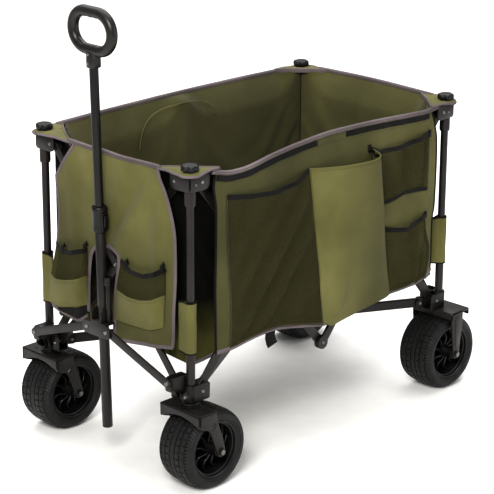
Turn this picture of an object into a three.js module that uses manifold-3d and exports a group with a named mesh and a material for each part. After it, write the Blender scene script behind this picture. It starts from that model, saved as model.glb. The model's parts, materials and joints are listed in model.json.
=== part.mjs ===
// Folding camp wagon: scissor frame on four wide wheels, hung fabric bag, telescoping pull handle.
// Millimetres, +Z up, handle end at -X, long sides along X.
import * as THREE from 'three';
import Module from 'manifold-3d';

// ---- driving dimensions ----
const POST_X = 408;          // half the post spacing along the wagon
const POST_Y = 225;          // half the post spacing across the wagon
const SHIFT_X = -9.9565;        // moves the whole wagon so that its box is centred on X = 0
const Z_PIN_LOW = 216;       // lower scissor pins
const Z_PIN_TOP = 674;       // upper scissor pins
const PIN_IN_X = 22;         // scissor pin, from the post along X
const PIN_IN_Y = 32;         // scissor pin, from the post along Y
const LINK_T = 5;            // scissor bar thickness
const LINK_R = 9;            // scissor bar half width
const PLANE_GAP = 6;         // distance between the two scissor planes
const PIN_R = 3;
const PIN_HOLE_R = 3.4;
const TYRE_R = 89.768;       // over the corners of the faceted tread, flats at 89
const TYRE_HALF = 48.5;
const RIM_R = 61.7;
const AXLE_Z = 89;
const TRAIL = 32;            // front casters trail their posts
const FORK_HALF = 60;
const POST_OUT_R = 9.5;
const POST_BORE_R = 8.8;
const INNER_POST_R = 8.5;
const KNOB_R = 19;
const BASE_T0 = 48;          // base link pin, from the post along the diagonal
const BASE_LEN = 336;
const BASE_Z = 209;
const V_X = -463.2;          // plane of the two short front links
const V_Y = 211;
const V_Z = 248;
const PLATE_Y = 30;
const PLATE_Z = 313;
const HANDLE_X = -448;
const HANDLE_Z = 345;
const HANDLE_LEAN = 0.02538; // rad, grip towards -X
const BAG_X = 390;
const BAG_Y = 208;
const BAG_FLOOR = 287;
const RIM_Z = 690.4;
const WALL = 2.5;

const wasm = await Module();
wasm.setup();

// ---- solids ----
function solid(geometry) {
  const g = geometry.index ? geometry.toNonIndexed() : geometry;
  const p = g.attributes.position.array;
  const seen = new Map(), verts = [], tris = [];
  for (let i = 0; i < p.length; i += 3) {
    const k = [0, 1, 2].map((d) => Math.round(p[i + d] * 1e4)).join(',');
    if (!seen.has(k)) { seen.set(k, verts.length / 3); verts.push(p[i], p[i + 1], p[i + 2]); }
    tris.push(seen.get(k));
  }
  const keep = [];
  for (let i = 0; i < tris.length; i += 3) {
    const [a, b, c] = tris.slice(i, i + 3);
    if (a !== b && b !== c && a !== c) keep.push(a, b, c);
  }
  return new wasm.Manifold(new wasm.Mesh({ numProp: 3, vertProperties: new Float32Array(verts), triVerts: new Uint32Array(keep) }));
}
function geometryOf(man, flipX = 1, flipY = 1) {
  const m = man.getMesh();
  const pos = new Float32Array(m.numVert * 3);
  for (let i = 0; i < m.numVert; i++) {
    pos[3 * i] = m.vertProperties[m.numProp * i] * flipX;
    pos[3 * i + 1] = m.vertProperties[m.numProp * i + 1] * flipY;
    pos[3 * i + 2] = m.vertProperties[m.numProp * i + 2];
  }
  const idx = Array.from(m.triVerts);
  if (flipX * flipY < 0) for (let i = 0; i < idx.length; i += 3) [idx[i + 1], idx[i + 2]] = [idx[i + 2], idx[i + 1]];
  const g = new THREE.BufferGeometry();
  g.setAttribute('position', new THREE.BufferAttribute(pos, 3));
  g.setIndex(idx);
  return g;
}
function box(x0, x1, y0, y1, z0, z1) {
  const g = new THREE.BoxGeometry(Math.abs(x1 - x0), Math.abs(y1 - y0), Math.abs(z1 - z0));
  g.translate((x0 + x1) / 2, (y0 + y1) / 2, (z0 + z1) / 2);
  return solid(g);
}
// cylinder of radius r from a to b along one axis ('x', 'y' or 'z'); u, v are the other two coordinates in order
function rod(axis, a, b, u, v, r, n = 16) {
  const g = new THREE.CylinderGeometry(r, r, Math.abs(b - a), n);
  const m = (a + b) / 2;
  if (axis === 'x') { g.rotateZ(Math.PI / 2); g.translate(m, u, v); }
  if (axis === 'y') g.translate(u, m, v);
  if (axis === 'z') { g.rotateX(Math.PI / 2); g.translate(u, v, m); }
  return solid(g);
}
function lathe(outline, n) {
  const area = outline.reduce((a, [r, y], i) => { const [q, z] = outline[(i + 1) % outline.length]; return a + r * z - q * y; }, 0);
  const points = area > 0 ? outline : outline.slice().reverse();
  return solid(new THREE.LatheGeometry([...points, points[0]].map(([r, y]) => new THREE.Vector2(r, y)), n));
}
function shapeOf(points) {
  const s = new THREE.Shape();
  points.forEach(([a, b], i) => (i ? s.lineTo(a, b) : s.moveTo(a, b)));
  s.closePath();
  return s;
}
// outline in XZ, extruded across Y from y0 to y1
function slabXZ(points, y0, y1) {
  const g = new THREE.ExtrudeGeometry(shapeOf(points), { depth: y1 - y0, bevelEnabled: false });
  g.rotateX(Math.PI / 2);
  g.translate(0, y1, 0);
  return solid(g);
}
// outline in YZ, extruded along X from x0 to x1
function slabYZ(points, x0, x1) {
  const g = new THREE.ExtrudeGeometry(shapeOf(points), { depth: x1 - x0, bevelEnabled: false });
  g.applyMatrix4(new THREE.Matrix4().makeBasis(new THREE.Vector3(0, 1, 0), new THREE.Vector3(0, 0, 1), new THREE.Vector3(1, 0, 0)));
  g.translate(x0, 0, 0);
  return solid(g);
}
const all = (first, ...rest) => rest.reduce((a, b) => a.add(b), first);
const less = (first, ...rest) => rest.reduce((a, b) => a.subtract(b), first);

// ---- looks ----
const OLIVE = { color: 0x6f6c42, roughness: 0.92, metalness: 0 };
const BRONZE = { color: 0x494443, roughness: 0.45, metalness: 0.6 };
const BLACK_STEEL = { color: 0x2a2827, roughness: 0.5, metalness: 0.5 };
const TYRE = { color: 0x2c2b2a, roughness: 0.85, metalness: 0 };
const RIM = { color: 0x1b1a1a, roughness: 0.5, metalness: 0 };
const SILVER = { color: 0xb9b9b4, roughness: 0.3, metalness: 0.9 };
const KNOB = { color: 0x2b2a29, roughness: 0.5, metalness: 0 };
const GRIP = { color: 0x2e2c2a, roughness: 0.4, metalness: 0 };

const wagon = new THREE.Group();
wagon.name = 'folding_wagon';
wagon.position.x = SHIFT_X;
function put(name, geometry, look, parent = wagon, at = [0, 0, 0]) {
  const g = geometry.isBufferGeometry ? geometry : geometryOf(geometry);
  g.computeVertexNormals();
  const mesh = new THREE.Mesh(g, new THREE.MeshStandardMaterial({ ...look, flatShading: true }));
  mesh.name = name;
  mesh.position.set(...at);
  parent.add(mesh);
  return mesh;
}

// ---- scissor bars: along local +X from the first pin, thickness across local Z ----
// holes: distances of drilled holes; pins: distances of pins standing out towards -Z through the outer bar
function bar(length, holes, pins, half = LINK_R, thick = LINK_T, holeR = PIN_HOLE_R) {
  const s = new THREE.Shape();
  s.absarc(0, 0, half, Math.PI / 2, 1.5 * Math.PI, false);
  s.absarc(length, 0, half, -Math.PI / 2, Math.PI / 2, false);
  const g = new THREE.ExtrudeGeometry(s, { depth: thick, bevelEnabled: false, curveSegments: 5 });
  g.translate(0, 0, -thick / 2);
  let m = solid(g);
  for (const u of holes) m = m.subtract(rod('z', -thick, thick, u, 0, holeR, 8));
  for (const u of pins) m = m.add(rod('z', -PLANE_GAP - thick / 2 - 1, 0, u, 0, PIN_R, 8));
  return m;
}
// frame of a bar: u along the bar, n towards the inside of the wagon
function lay(mesh, start, u, n) {
  const U = new THREE.Vector3(...u).normalize(), N = new THREE.Vector3(...n).normalize();
  const V = new THREE.Vector3().crossVectors(N, U);
  mesh.quaternion.setFromRotationMatrix(new THREE.Matrix4().makeBasis(U, V, N));
  mesh.position.set(...start);
}
const SPAN = 2 * POST_Y - 2 * PIN_IN_Y;             // 386, also half the long span between pins
const RISE = Z_PIN_TOP - Z_PIN_LOW;
const LINK = Math.hypot(SPAN, RISE);
const xs = -POST_X + PIN_IN_X;
for (const [side, y, ny] of [['left', -POST_Y, 1], ['right', POST_Y, -1]]) {
  const outer = y, inner = y + ny * PLANE_GAP, n = [0, ny, 0];
  lay(put(`side_link_${side}_front_rising`, bar(LINK, [0, LINK / 2, LINK], []), BRONZE), [xs, outer, Z_PIN_LOW], [SPAN, 0, RISE], n);
  lay(put(`side_link_${side}_front_falling`, bar(LINK, [0], [LINK / 2, LINK]), BRONZE), [xs, inner, Z_PIN_TOP], [SPAN, 0, -RISE], n);
  lay(put(`side_link_${side}_rear_falling`, bar(LINK, [LINK], [0, LINK / 2]), BRONZE), [xs + SPAN, inner, Z_PIN_TOP], [SPAN, 0, -RISE], n);
  lay(put(`side_link_${side}_rear_rising`, bar(LINK, [0, LINK / 2, LINK], []), BRONZE), [xs + SPAN, outer, Z_PIN_LOW], [SPAN, 0, RISE], n);
}
const ys = -POST_Y + PIN_IN_Y;
for (const [end, x, nx] of [['front', -POST_X, 1], ['rear', POST_X, -1]]) {
  const n = [nx, 0, 0];
  lay(put(`end_link_${end}_rising`, bar(LINK, [0, LINK / 2, LINK], []), BRONZE), [x, ys, Z_PIN_LOW], [0, SPAN, RISE], n);
  lay(put(`end_link_${end}_falling`, bar(LINK, [0, LINK], [LINK / 2]), BRONZE), [x + nx * PLANE_GAP, ys, Z_PIN_TOP], [0, SPAN, -RISE], n);
}

// ---- corner pieces, in coordinates that run inwards from the post ----
const DX = (POST_X) / Math.hypot(POST_X, POST_Y), DY = POST_Y / Math.hypot(POST_X, POST_Y);
// a box along the diagonal: t along it, c across it towards the end of the wagon's width
function diagonal(t0, t1, c0, c1, z0, z1) {
  const g = new THREE.BoxGeometry(t1 - t0, c1 - c0, z1 - z0);
  g.translate((t0 + t1) / 2, (c0 + c1) / 2, (z0 + z1) / 2);
  g.rotateZ(Math.atan2(DY, DX));
  return solid(g);
}
function diagonalRod(t, z, c0, c1, r) {
  const g = new THREE.CylinderGeometry(r, r, c1 - c0, 8);
  g.translate(t, (c0 + c1) / 2, z);
  g.rotateZ(Math.atan2(DY, DX));
  return solid(g);
}
function slots(z0, z1) {
  return [box(12, 46, -3.2, 9.2, z0, z1), box(-3.2, 9.2, 12, 48, z0, z1)];
}
function pinPair(z) {
  return [rod('y', -4, 10, PIN_IN_X, z, PIN_R, 8), rod('x', -4, 10, PIN_IN_Y, z, PIN_R, 8)];
}
function bracket(front) {
  let m = all(box(-14, 43, -14, 14, 196, 234), box(-14, 14, 10, 45, 196, 234));
  if (front) m = m.add(box(-51.5, -4.2, 4, 24, 228, 259));
  m = m.add(diagonal(12, 60, 4.6, 9.6, 198, 221));
  m = less(m, ...slots(203, 262), rod('z', 206, 262, 0, 0, POST_OUT_R + 0.4, 16));
  m = all(m, ...pinPair(Z_PIN_LOW), diagonalRod(BASE_T0, BASE_Z, -4.8, 6, 3.5));
  if (front) {
    m = m.add(rod('x', -58.6, -50, 14, V_Z, PIN_R, 8));
    m = m.subtract(rod('z', 195, 204.5, 0, 0, 5.6, 16));
  }
  return m;
}
function upperPost() {
  let m = all(box(-14, 43, -14, 14, 656, 690), box(-14, 14, 10, 45, 656, 690));
  m = less(m, ...slots(655, 686));
  m = all(m, ...pinPair(Z_PIN_TOP), rod('z', 625, 660, 0, 0, 11, 16), rod('z', 232, 660, 0, 0, INNER_POST_R, 16), rod('z', 688, 705, 0, 0, 4, 12));
  return m.subtract(rod('z', 231, 640, 0, 0, INNER_POST_R - 1.3, 16));
}
function lowerPost() {
  return rod('z', 206.3, 400, 0, 0, POST_OUT_R, 16).subtract(rod('z', 205, 401, 0, 0, POST_BORE_R, 16));
}
function knob() {
  const cap = lathe([[0, 699], [15, 699], [KNOB_R, 702], [KNOB_R, 710], [15, 713], [0, 713]].map(([r, z]) => [r, z]), 8);
  const g = geometryOf(cap);
  g.rotateX(Math.PI / 2);
  g.scale(1, 1, 1);
  let m = solid(g);
  return all(m, rod('z', 690.5, 700, 0, 0, 7, 16)).subtract(rod('z', 690, 706, 0, 0, 4.4, 12));
}
// outline of a fork arm in XZ: x0..x1 at the top, an eye of radius r about the axle
function arm(x0, x1, top, low, ax, r) {
  const pts = [[x0, top], [x0, low]];
  for (let i = 0; i <= 6; i++) {
    const a = Math.PI * (1.05 + i / 6);
    pts.push([ax + r * Math.cos(a), AXLE_Z + r * Math.sin(a)]);
  }
  pts.push([x1, low], [x1, top]);
  return pts;
}
function fork(front) {
  const top = front ? 187 : 195.7;
  const x0 = front ? -32 : -24, x1 = front ? 18 : 42;
  const a0 = front ? -32 : -20, a1 = front ? 18 : 20;
  const low = front ? 160 : 170;
  const ax = front ? TRAIL : 0;
  const outline = arm(a0, a1, top, low, ax, 11);
  let m = all(box(x0, x1, -FORK_HALF, FORK_HALF, top - 5, top),
    slabXZ(outline, -FORK_HALF, -FORK_HALF + 5), slabXZ(outline, FORK_HALF - 5, FORK_HALF));
  if (front) m = all(m, box(x0, x0 + 4, -FORK_HALF, FORK_HALF, 163, top), rod('z', 186, 195.7, 0, 0, 17, 20), rod('z', 186, 203, 0, 0, 5.2, 16));
  else m = m.add(box(x1 - 4, x1, -FORK_HALF, FORK_HALF, 180, top));
  return m.subtract(rod('y', -FORK_HALF - 1, FORK_HALF + 1, ax, AXLE_Z, 5.3, 12));
}
function axle() {
  return all(rod('y', -63, 63, 0, AXLE_Z, 5, 12), rod('y', -66, -60.3, 0, AXLE_Z, 9, 12), rod('y', 60.3, 66, 0, AXLE_Z, 9, 12));
}
const NT = 24;
function tyre() {
  const half = [[62, 41], [69, 48], [79, TYRE_HALF], [87, 39], [TYRE_R, 18]];
  const pts = [...half.map(([r, y]) => [r, y]), ...half.slice().reverse().map(([r, y]) => [r, -y])];
  const g = geometryOf(lathe(pts, NT));
  g.rotateY(Math.PI / NT);
  g.translate(0, 0, AXLE_Z);
  return g;
}
function rim() {
  let m = lathe([[56, -41], [RIM_R, -41], [RIM_R, 41], [56, 41]], NT);
  m = m.add(lathe([[0, -54], [13, -54], [16, -20], [16, 20], [13, 54], [0, 54]], 12));
  for (let i = 0; i < 5; i++) {
    const g = new THREE.BoxGeometry(50, 46, 9);
    g.translate(35, 0, 0);
    g.rotateY((i * 2 * Math.PI) / 5 + 0.3);
    m = m.add(solid(g));
  }
  m = m.subtract(rod('y', -60, 60, 0, 0, 5.6, 12));
  const g = geometryOf(m);
  g.rotateY(Math.PI / NT);
  g.translate(0, 0, AXLE_Z);
  return g;
}
const corners = [['front_left', -1, -1], ['front_right', -1, 1], ['rear_left', 1, -1], ['rear_right', 1, 1]];
for (const [where, sx, sy] of corners) {
  const front = sx < 0, fx = -sx, fy = -sy;
  const corner = new THREE.Group();
  corner.name = `corner_${where}`;
  corner.position.set(sx * POST_X, sy * POST_Y, 0);
  wagon.add(corner);
  put(`bracket_${where}`, geometryOf(bracket(front), fx, fy), BLACK_STEEL, corner);
  put(`lower_post_${where}`, lowerPost(), BRONZE, corner);
  put(`upper_post_${where}`, geometryOf(upperPost(), fx, fy), BRONZE, corner);
  put(`knob_${where}`, knob(), KNOB, corner);
  put(`fork_${where}`, fork(front), BRONZE, corner);
  const wheel = new THREE.Group();
  wheel.name = `wheel_group_${where}`;
  wheel.position.x = front ? TRAIL : 0;
  corner.add(wheel);
  put(`axle_bolt_${where}`, axle(), SILVER, wheel);
  put(`wheel_rim_${where}`, rim(), RIM, wheel);
  put(`tyre_${where}`, tyre(), TYRE, wheel);
  // base link, from the corner towards the middle
  const link = put(`base_link_${where}`, bar(BASE_LEN, [0], [], 11, 8, 3.9), BRONZE);
  lay(link, [sx * (POST_X - BASE_T0 * DX), sy * (POST_Y - BASE_T0 * DY), BASE_Z], [-sx * DX, -sy * DY, 0], [-sy * DY, sx * DX, 0]);
}
put('base_hub', all(rod('z', 196, 206, 0, 0, 45, 24), rod('z', 190, 212, 0, 0, 16, 16)), BLACK_STEEL);

// ---- front links, handle plate and stop post ----
const vLen = Math.hypot(V_Y - PLATE_Y, PLATE_Z - V_Z);
lay(put('front_strut_left', bar(vLen, [0, vLen], []), BRONZE), [V_X, -V_Y, V_Z], [0, V_Y - PLATE_Y, PLATE_Z - V_Z], [1, 0, 0]);
lay(put('front_strut_right', bar(vLen, [0, vLen], []), BRONZE), [V_X, V_Y, V_Z], [0, -(V_Y - PLATE_Y), PLATE_Z - V_Z], [1, 0, 0]);
const plate = all(
  slabYZ([[-43, 304], [-36, 298], [36, 298], [43, 304], [43, 322], [36, 328], [16, 328], [16, 334], [-16, 334], [-16, 328], [-36, 328], [-43, 322]], -470, -466.5),
  box(-470, -437, 12.3, 16, 330, 358), box(-470, -437, -16, -12.3, 330, 358),
  box(-470, -443, -30, -14, 326, 330),
  rod('x', -467, -459.4, -PLATE_Y, PLATE_Z, PIN_R, 8),
  rod('y', 10.3, 14, HANDLE_X, HANDLE_Z, 3.5, 12), rod('y', -14, -10.3, HANDLE_X, HANDLE_Z, 3.5, 12));
put('handle_plate', plate, BRONZE);
put('handle_stop_post', all(rod('z', 330.3, 425, -452, -22.6, 6, 12), rod('z', 414, 432, -452, -22.6, 8.5, 12)), BLACK_STEEL);

// ---- handle, in its own frame from the pivot ----
const handle = new THREE.Group();
handle.name = 'handle';
handle.position.set(HANDLE_X, 0, HANDLE_Z);
handle.rotation.y = -HANDLE_LEAN;
wagon.add(handle);
put('handle_lower_tube', less(rod('z', -264, 230, 0, 0, 11.3, 20), rod('z', -265, 231, 0, 0, 10.1, 20), rod('y', -14, 14, 0, 0, 3.9, 12)), BRONZE, handle);
put('handle_upper_tube', rod('z', 150, 560, 0, 0, 9.75, 20).subtract(rod('z', 149, 550, 0, 0, 8.6, 20)), BLACK_STEEL, handle);
put('handle_collar', less(all(rod('z', 185, 240, 0, 0, 15.5, 20), box(-8, 8, -18.5, -10, 192, 228)),
  rod('z', 184, 230.4, 0, 0, 11.7, 20), rod('z', 230, 241, 0, 0, 10.15, 20), box(-5.8, 5.8, -19, -14.2, 197, 223)), BLACK_STEEL, handle);
put('handle_button', box(-5.4, 5.4, -21.5, -17.4, 197.4, 222.6), KNOB, handle);
function stadium(w, h, n) {
  const pts = [], r = h / 2, c = w / 2 - r;
  for (let i = 0; i <= n; i++) { const a = -Math.PI / 2 + (Math.PI * i) / n; pts.push([c + r * Math.cos(a), r * Math.sin(a)]); }
  for (let i = 0; i <= n; i++) { const a = Math.PI / 2 + (Math.PI * i) / n; pts.push([-c + r * Math.cos(a), r * Math.sin(a)]); }
  return pts;
}
const ring = new THREE.ExtrudeGeometry(shapeOf(stadium(130, 91, 10)), { depth: 12, bevelEnabled: true, bevelThickness: 6, bevelSize: 6, bevelSegments: 2 });
ring.applyMatrix4(new THREE.Matrix4().makeBasis(new THREE.Vector3(0, 1, 0), new THREE.Vector3(0, 0, 1), new THREE.Vector3(1, 0, 0)));
ring.translate(-6, 0, 615);
const hole = new THREE.ExtrudeGeometry(shapeOf(stadium(94, 55, 10)), { depth: 40, bevelEnabled: false });
hole.applyMatrix4(new THREE.Matrix4().makeBasis(new THREE.Vector3(0, 1, 0), new THREE.Vector3(0, 0, 1), new THREE.Vector3(1, 0, 0)));
hole.translate(-20, 0, 615);
put('handle_grip', less(all(solid(ring), rod('z', 539, 575, 0, 0, 14.5, 20)), solid(hole), rod('z', 538, 560.3, 0, 0, 10.05, 20)), GRIP, handle);

// ---- fabric bag: open tub with hanging skirts, rim with corner tabs and post sleeves ----
let bag = box(-BAG_X, BAG_X, -BAG_Y, BAG_Y, BAG_FLOOR, RIM_Z + 3);
bag = bag.add(box(-425.2, 421, -240, 240, RIM_Z, RIM_Z + 3));
for (const [where, sx, sy] of corners) {
  bag = bag.add(rod('z', RIM_Z, RIM_Z + 3, sx * (POST_X + 1), sy * (POST_Y + 1), 23, 16));
  bag = bag.add(rod('z', 301, 418, sx * POST_X, sy * POST_Y, 13.2, 16));
  const web = new THREE.BoxGeometry(22, 2.4, 117);
  web.rotateZ(Math.atan2(17, 18) * (sx * sy > 0 ? 1 : -1));
  web.translate(sx * (POST_X - 12.5), sy * (POST_Y - 11.8), 359.5);
  bag = bag.add(solid(web));
}
bag = all(bag, box(-356, 356, -240, -237, 276, RIM_Z + 3), box(-356, 356, 237, 240, 276, RIM_Z + 3), box(418, 421, -176, 176, 290, RIM_Z + 3));
bag = bag.subtract(box(-BAG_X + WALL, BAG_X - WALL, -BAG_Y + WALL, BAG_Y - WALL, BAG_FLOOR + 4, RIM_Z + 10));
// the front wall steps back around the handle's lower end
bag = bag.add(box(-BAG_X, -350, -44, 62, BAG_FLOOR, 482));
bag = bag.subtract(box(-BAG_X - 5, -350 - WALL, -44 + WALL, 62 - WALL, BAG_FLOOR - 1, 482 - WALL));
for (const [where, sx, sy] of corners) {
  bag = bag.subtract(rod('z', RIM_Z - 1, RIM_Z + 5, sx * POST_X, sy * POST_Y, 7.8, 16));
  bag = bag.subtract(rod('z', 300, 419, sx * POST_X, sy * POST_Y, 10.6, 16));
}
put('bag', bag, OLIVE);
const panel = [[-150, 690], [-186, 610], [-201, 556], [-197, 402], [-196, 324], [-183, 303], [-100, 294], [-16, 284], [-16, 350], [-24, 440], [-14, 466], [8, 478], [34, 470], [52, 440], [56, 380], [66, 322], [100, 316], [196, 312], [190, 375], [172, 440], [171, 593], [107, 690]];
const panelShape = panel.slice();
let front = slabYZ(panelShape, -428, -425.5);
const cup = (y0, y1, z0, z1) => slabYZ([[y0, z0], [y1, z0], [y1, z1], [y0, z1]], -443, -427);
const cupHole = (y0, y1, z0, z1) => slabYZ([[y0, z0], [y1, z0], [y1, z1], [y0, z1]], -441, -428);
front = all(front, cup(-172, -36, 318, 466), cup(66, 196, 316, 452));
front = less(front, cupHole(-170, -38, 320, 470), cupHole(68, 194, 318, 460));
put('front_pocket_panel', front, OLIVE);

export default wagon;
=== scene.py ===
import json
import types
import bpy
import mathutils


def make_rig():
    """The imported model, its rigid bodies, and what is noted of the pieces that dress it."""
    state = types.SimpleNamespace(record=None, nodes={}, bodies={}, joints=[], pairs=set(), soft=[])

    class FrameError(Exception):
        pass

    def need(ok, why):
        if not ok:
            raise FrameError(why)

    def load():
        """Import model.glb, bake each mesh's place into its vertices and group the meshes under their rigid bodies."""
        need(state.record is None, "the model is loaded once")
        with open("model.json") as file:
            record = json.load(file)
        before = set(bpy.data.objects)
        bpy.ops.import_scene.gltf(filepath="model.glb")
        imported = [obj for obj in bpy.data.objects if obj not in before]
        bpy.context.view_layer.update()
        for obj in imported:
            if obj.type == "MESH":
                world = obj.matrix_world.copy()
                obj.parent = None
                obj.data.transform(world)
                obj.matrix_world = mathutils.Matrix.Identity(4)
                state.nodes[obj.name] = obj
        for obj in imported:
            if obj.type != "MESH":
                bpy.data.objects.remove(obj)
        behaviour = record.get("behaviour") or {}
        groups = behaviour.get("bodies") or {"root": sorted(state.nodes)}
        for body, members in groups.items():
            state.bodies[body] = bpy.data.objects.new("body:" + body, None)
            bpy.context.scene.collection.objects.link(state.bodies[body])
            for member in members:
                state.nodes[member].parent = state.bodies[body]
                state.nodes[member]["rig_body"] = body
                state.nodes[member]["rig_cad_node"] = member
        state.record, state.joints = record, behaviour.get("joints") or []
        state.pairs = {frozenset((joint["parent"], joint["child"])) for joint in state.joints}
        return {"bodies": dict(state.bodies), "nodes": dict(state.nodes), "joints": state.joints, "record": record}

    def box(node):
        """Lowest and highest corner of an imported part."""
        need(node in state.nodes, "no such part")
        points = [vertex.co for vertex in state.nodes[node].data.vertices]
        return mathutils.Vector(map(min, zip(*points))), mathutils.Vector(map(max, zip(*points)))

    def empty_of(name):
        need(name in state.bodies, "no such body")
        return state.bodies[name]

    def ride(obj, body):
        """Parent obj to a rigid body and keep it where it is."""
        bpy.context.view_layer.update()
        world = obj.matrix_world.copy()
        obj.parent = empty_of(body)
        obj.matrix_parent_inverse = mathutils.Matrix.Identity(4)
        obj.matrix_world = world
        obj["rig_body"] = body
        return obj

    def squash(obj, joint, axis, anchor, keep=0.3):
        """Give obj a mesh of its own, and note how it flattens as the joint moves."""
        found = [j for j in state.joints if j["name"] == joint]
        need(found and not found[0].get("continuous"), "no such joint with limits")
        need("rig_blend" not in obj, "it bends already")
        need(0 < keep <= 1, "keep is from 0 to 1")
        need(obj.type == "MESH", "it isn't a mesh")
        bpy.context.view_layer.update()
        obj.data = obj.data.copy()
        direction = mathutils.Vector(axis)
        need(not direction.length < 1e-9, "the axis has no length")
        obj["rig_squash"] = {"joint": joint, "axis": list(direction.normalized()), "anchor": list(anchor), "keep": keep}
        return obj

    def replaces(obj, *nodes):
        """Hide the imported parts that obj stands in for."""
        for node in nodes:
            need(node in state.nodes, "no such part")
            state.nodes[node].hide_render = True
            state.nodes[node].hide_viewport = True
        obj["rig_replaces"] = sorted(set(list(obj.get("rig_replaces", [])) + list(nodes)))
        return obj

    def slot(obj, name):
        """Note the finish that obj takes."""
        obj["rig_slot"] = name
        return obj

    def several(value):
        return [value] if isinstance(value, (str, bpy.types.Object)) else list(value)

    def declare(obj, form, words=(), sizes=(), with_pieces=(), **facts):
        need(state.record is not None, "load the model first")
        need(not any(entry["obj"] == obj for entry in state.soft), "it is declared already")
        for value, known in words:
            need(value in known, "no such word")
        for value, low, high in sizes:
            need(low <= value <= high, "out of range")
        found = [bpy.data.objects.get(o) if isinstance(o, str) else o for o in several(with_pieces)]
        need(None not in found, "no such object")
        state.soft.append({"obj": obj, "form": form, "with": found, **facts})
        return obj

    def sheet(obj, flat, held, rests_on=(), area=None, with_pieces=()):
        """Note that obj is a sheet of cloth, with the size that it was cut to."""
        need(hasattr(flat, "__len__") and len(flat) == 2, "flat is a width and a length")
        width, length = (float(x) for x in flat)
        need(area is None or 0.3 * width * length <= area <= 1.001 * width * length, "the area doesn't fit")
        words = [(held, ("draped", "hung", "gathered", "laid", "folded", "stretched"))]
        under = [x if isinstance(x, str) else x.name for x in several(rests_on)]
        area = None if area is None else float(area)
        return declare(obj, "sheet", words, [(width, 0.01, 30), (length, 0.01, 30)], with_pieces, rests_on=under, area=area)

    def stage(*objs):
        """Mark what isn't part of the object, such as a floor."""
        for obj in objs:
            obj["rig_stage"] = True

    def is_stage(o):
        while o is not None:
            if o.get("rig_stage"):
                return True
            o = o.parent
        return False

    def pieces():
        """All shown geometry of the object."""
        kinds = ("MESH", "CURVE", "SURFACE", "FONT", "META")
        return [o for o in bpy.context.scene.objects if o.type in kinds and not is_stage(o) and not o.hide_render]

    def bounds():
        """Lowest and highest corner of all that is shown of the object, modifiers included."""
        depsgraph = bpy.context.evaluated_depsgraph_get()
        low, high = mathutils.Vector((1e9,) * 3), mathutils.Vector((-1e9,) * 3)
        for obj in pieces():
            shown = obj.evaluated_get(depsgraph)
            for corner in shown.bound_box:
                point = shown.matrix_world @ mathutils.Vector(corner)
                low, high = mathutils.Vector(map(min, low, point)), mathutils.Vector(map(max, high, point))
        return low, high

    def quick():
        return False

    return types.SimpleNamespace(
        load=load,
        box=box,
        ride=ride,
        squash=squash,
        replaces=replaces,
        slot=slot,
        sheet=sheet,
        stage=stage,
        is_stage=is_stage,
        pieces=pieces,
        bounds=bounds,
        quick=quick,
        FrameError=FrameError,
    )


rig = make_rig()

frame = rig.load()

import json
import math

import bmesh
import bpy
from mathutils import Matrix, Vector, noise

CAD_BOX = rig.bounds()
scene = bpy.context.scene

# ------------------------------------------------------------------ frame: millimetres about the middle of the four posts
_lo, _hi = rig.box("lower_post_front_left")
_lo2, _hi2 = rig.box("lower_post_rear_right")
_a, _b = (_lo + _hi) / 2, (_lo2 + _hi2) / 2
SH = (_a.x + _b.x) / 2 * 1000
PX = (_b.x - _a.x) / 2 * 1000          # half post spacing along the wagon
PY = (_b.y - _a.y) / 2 * 1000          # half post spacing across it
W = Matrix.Translation((SH / 1000, 0, 0)) @ Matrix.Scale(0.001, 4)


def P(x, y, z):
    return Vector(((x + SH) / 1000, y / 1000, z / 1000))


ZL, ZT = 216.0, 674.0                  # lower and upper scissor pins
SPAN, RISE = 386.0, 458.0
LINK = math.hypot(SPAN, RISE)
AXLE = 89.0
TRAIL = 32.0


def smooth(a, b, x):
    t = min(1.0, max(0.0, (x - a) / (b - a)))
    return t * t * (3 - 2 * t)


def lerp(a, b, t):
    return a + (b - a) * t


def curve(pts):
    """A smooth function through the points (x, value), sorted by x."""
    xs = [p[0] for p in pts]
    ys = [p[1] for p in pts]

    def slope(i):
        if i == 0 or i == len(xs) - 1:
            j = max(1, i) if i else 1
            return (ys[j] - ys[j - 1]) / (xs[j] - xs[j - 1])
        return (ys[i + 1] - ys[i - 1]) / (xs[i + 1] - xs[i - 1])

    def f(x):
        if x <= xs[0]:
            return ys[0]
        if x >= xs[-1]:
            return ys[-1]
        i = max(k for k in range(len(xs) - 1) if xs[k] <= x)
        h = xs[i + 1] - xs[i]
        t = (x - xs[i]) / h
        m0, m1 = slope(i) * h, slope(i + 1) * h
        return ((2 * t**3 - 3 * t**2 + 1) * ys[i] + (t**3 - 2 * t**2 + t) * m0
                + (-2 * t**3 + 3 * t**2) * ys[i + 1] + (t**3 - t**2) * m1)
    return f


def nz(x, y, z, s, seed=0.0):
    return noise.noise(Vector((x * s + seed, y * s + 3.7 * seed, z * s - seed)))


# ------------------------------------------------------------------ materials
def lin(*rgb):
    return tuple((c / 255 / 12.92 if c / 255 <= 0.04045 else ((c / 255 + 0.055) / 1.055) ** 2.4) for c in rgb) + (1.0,)


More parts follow.
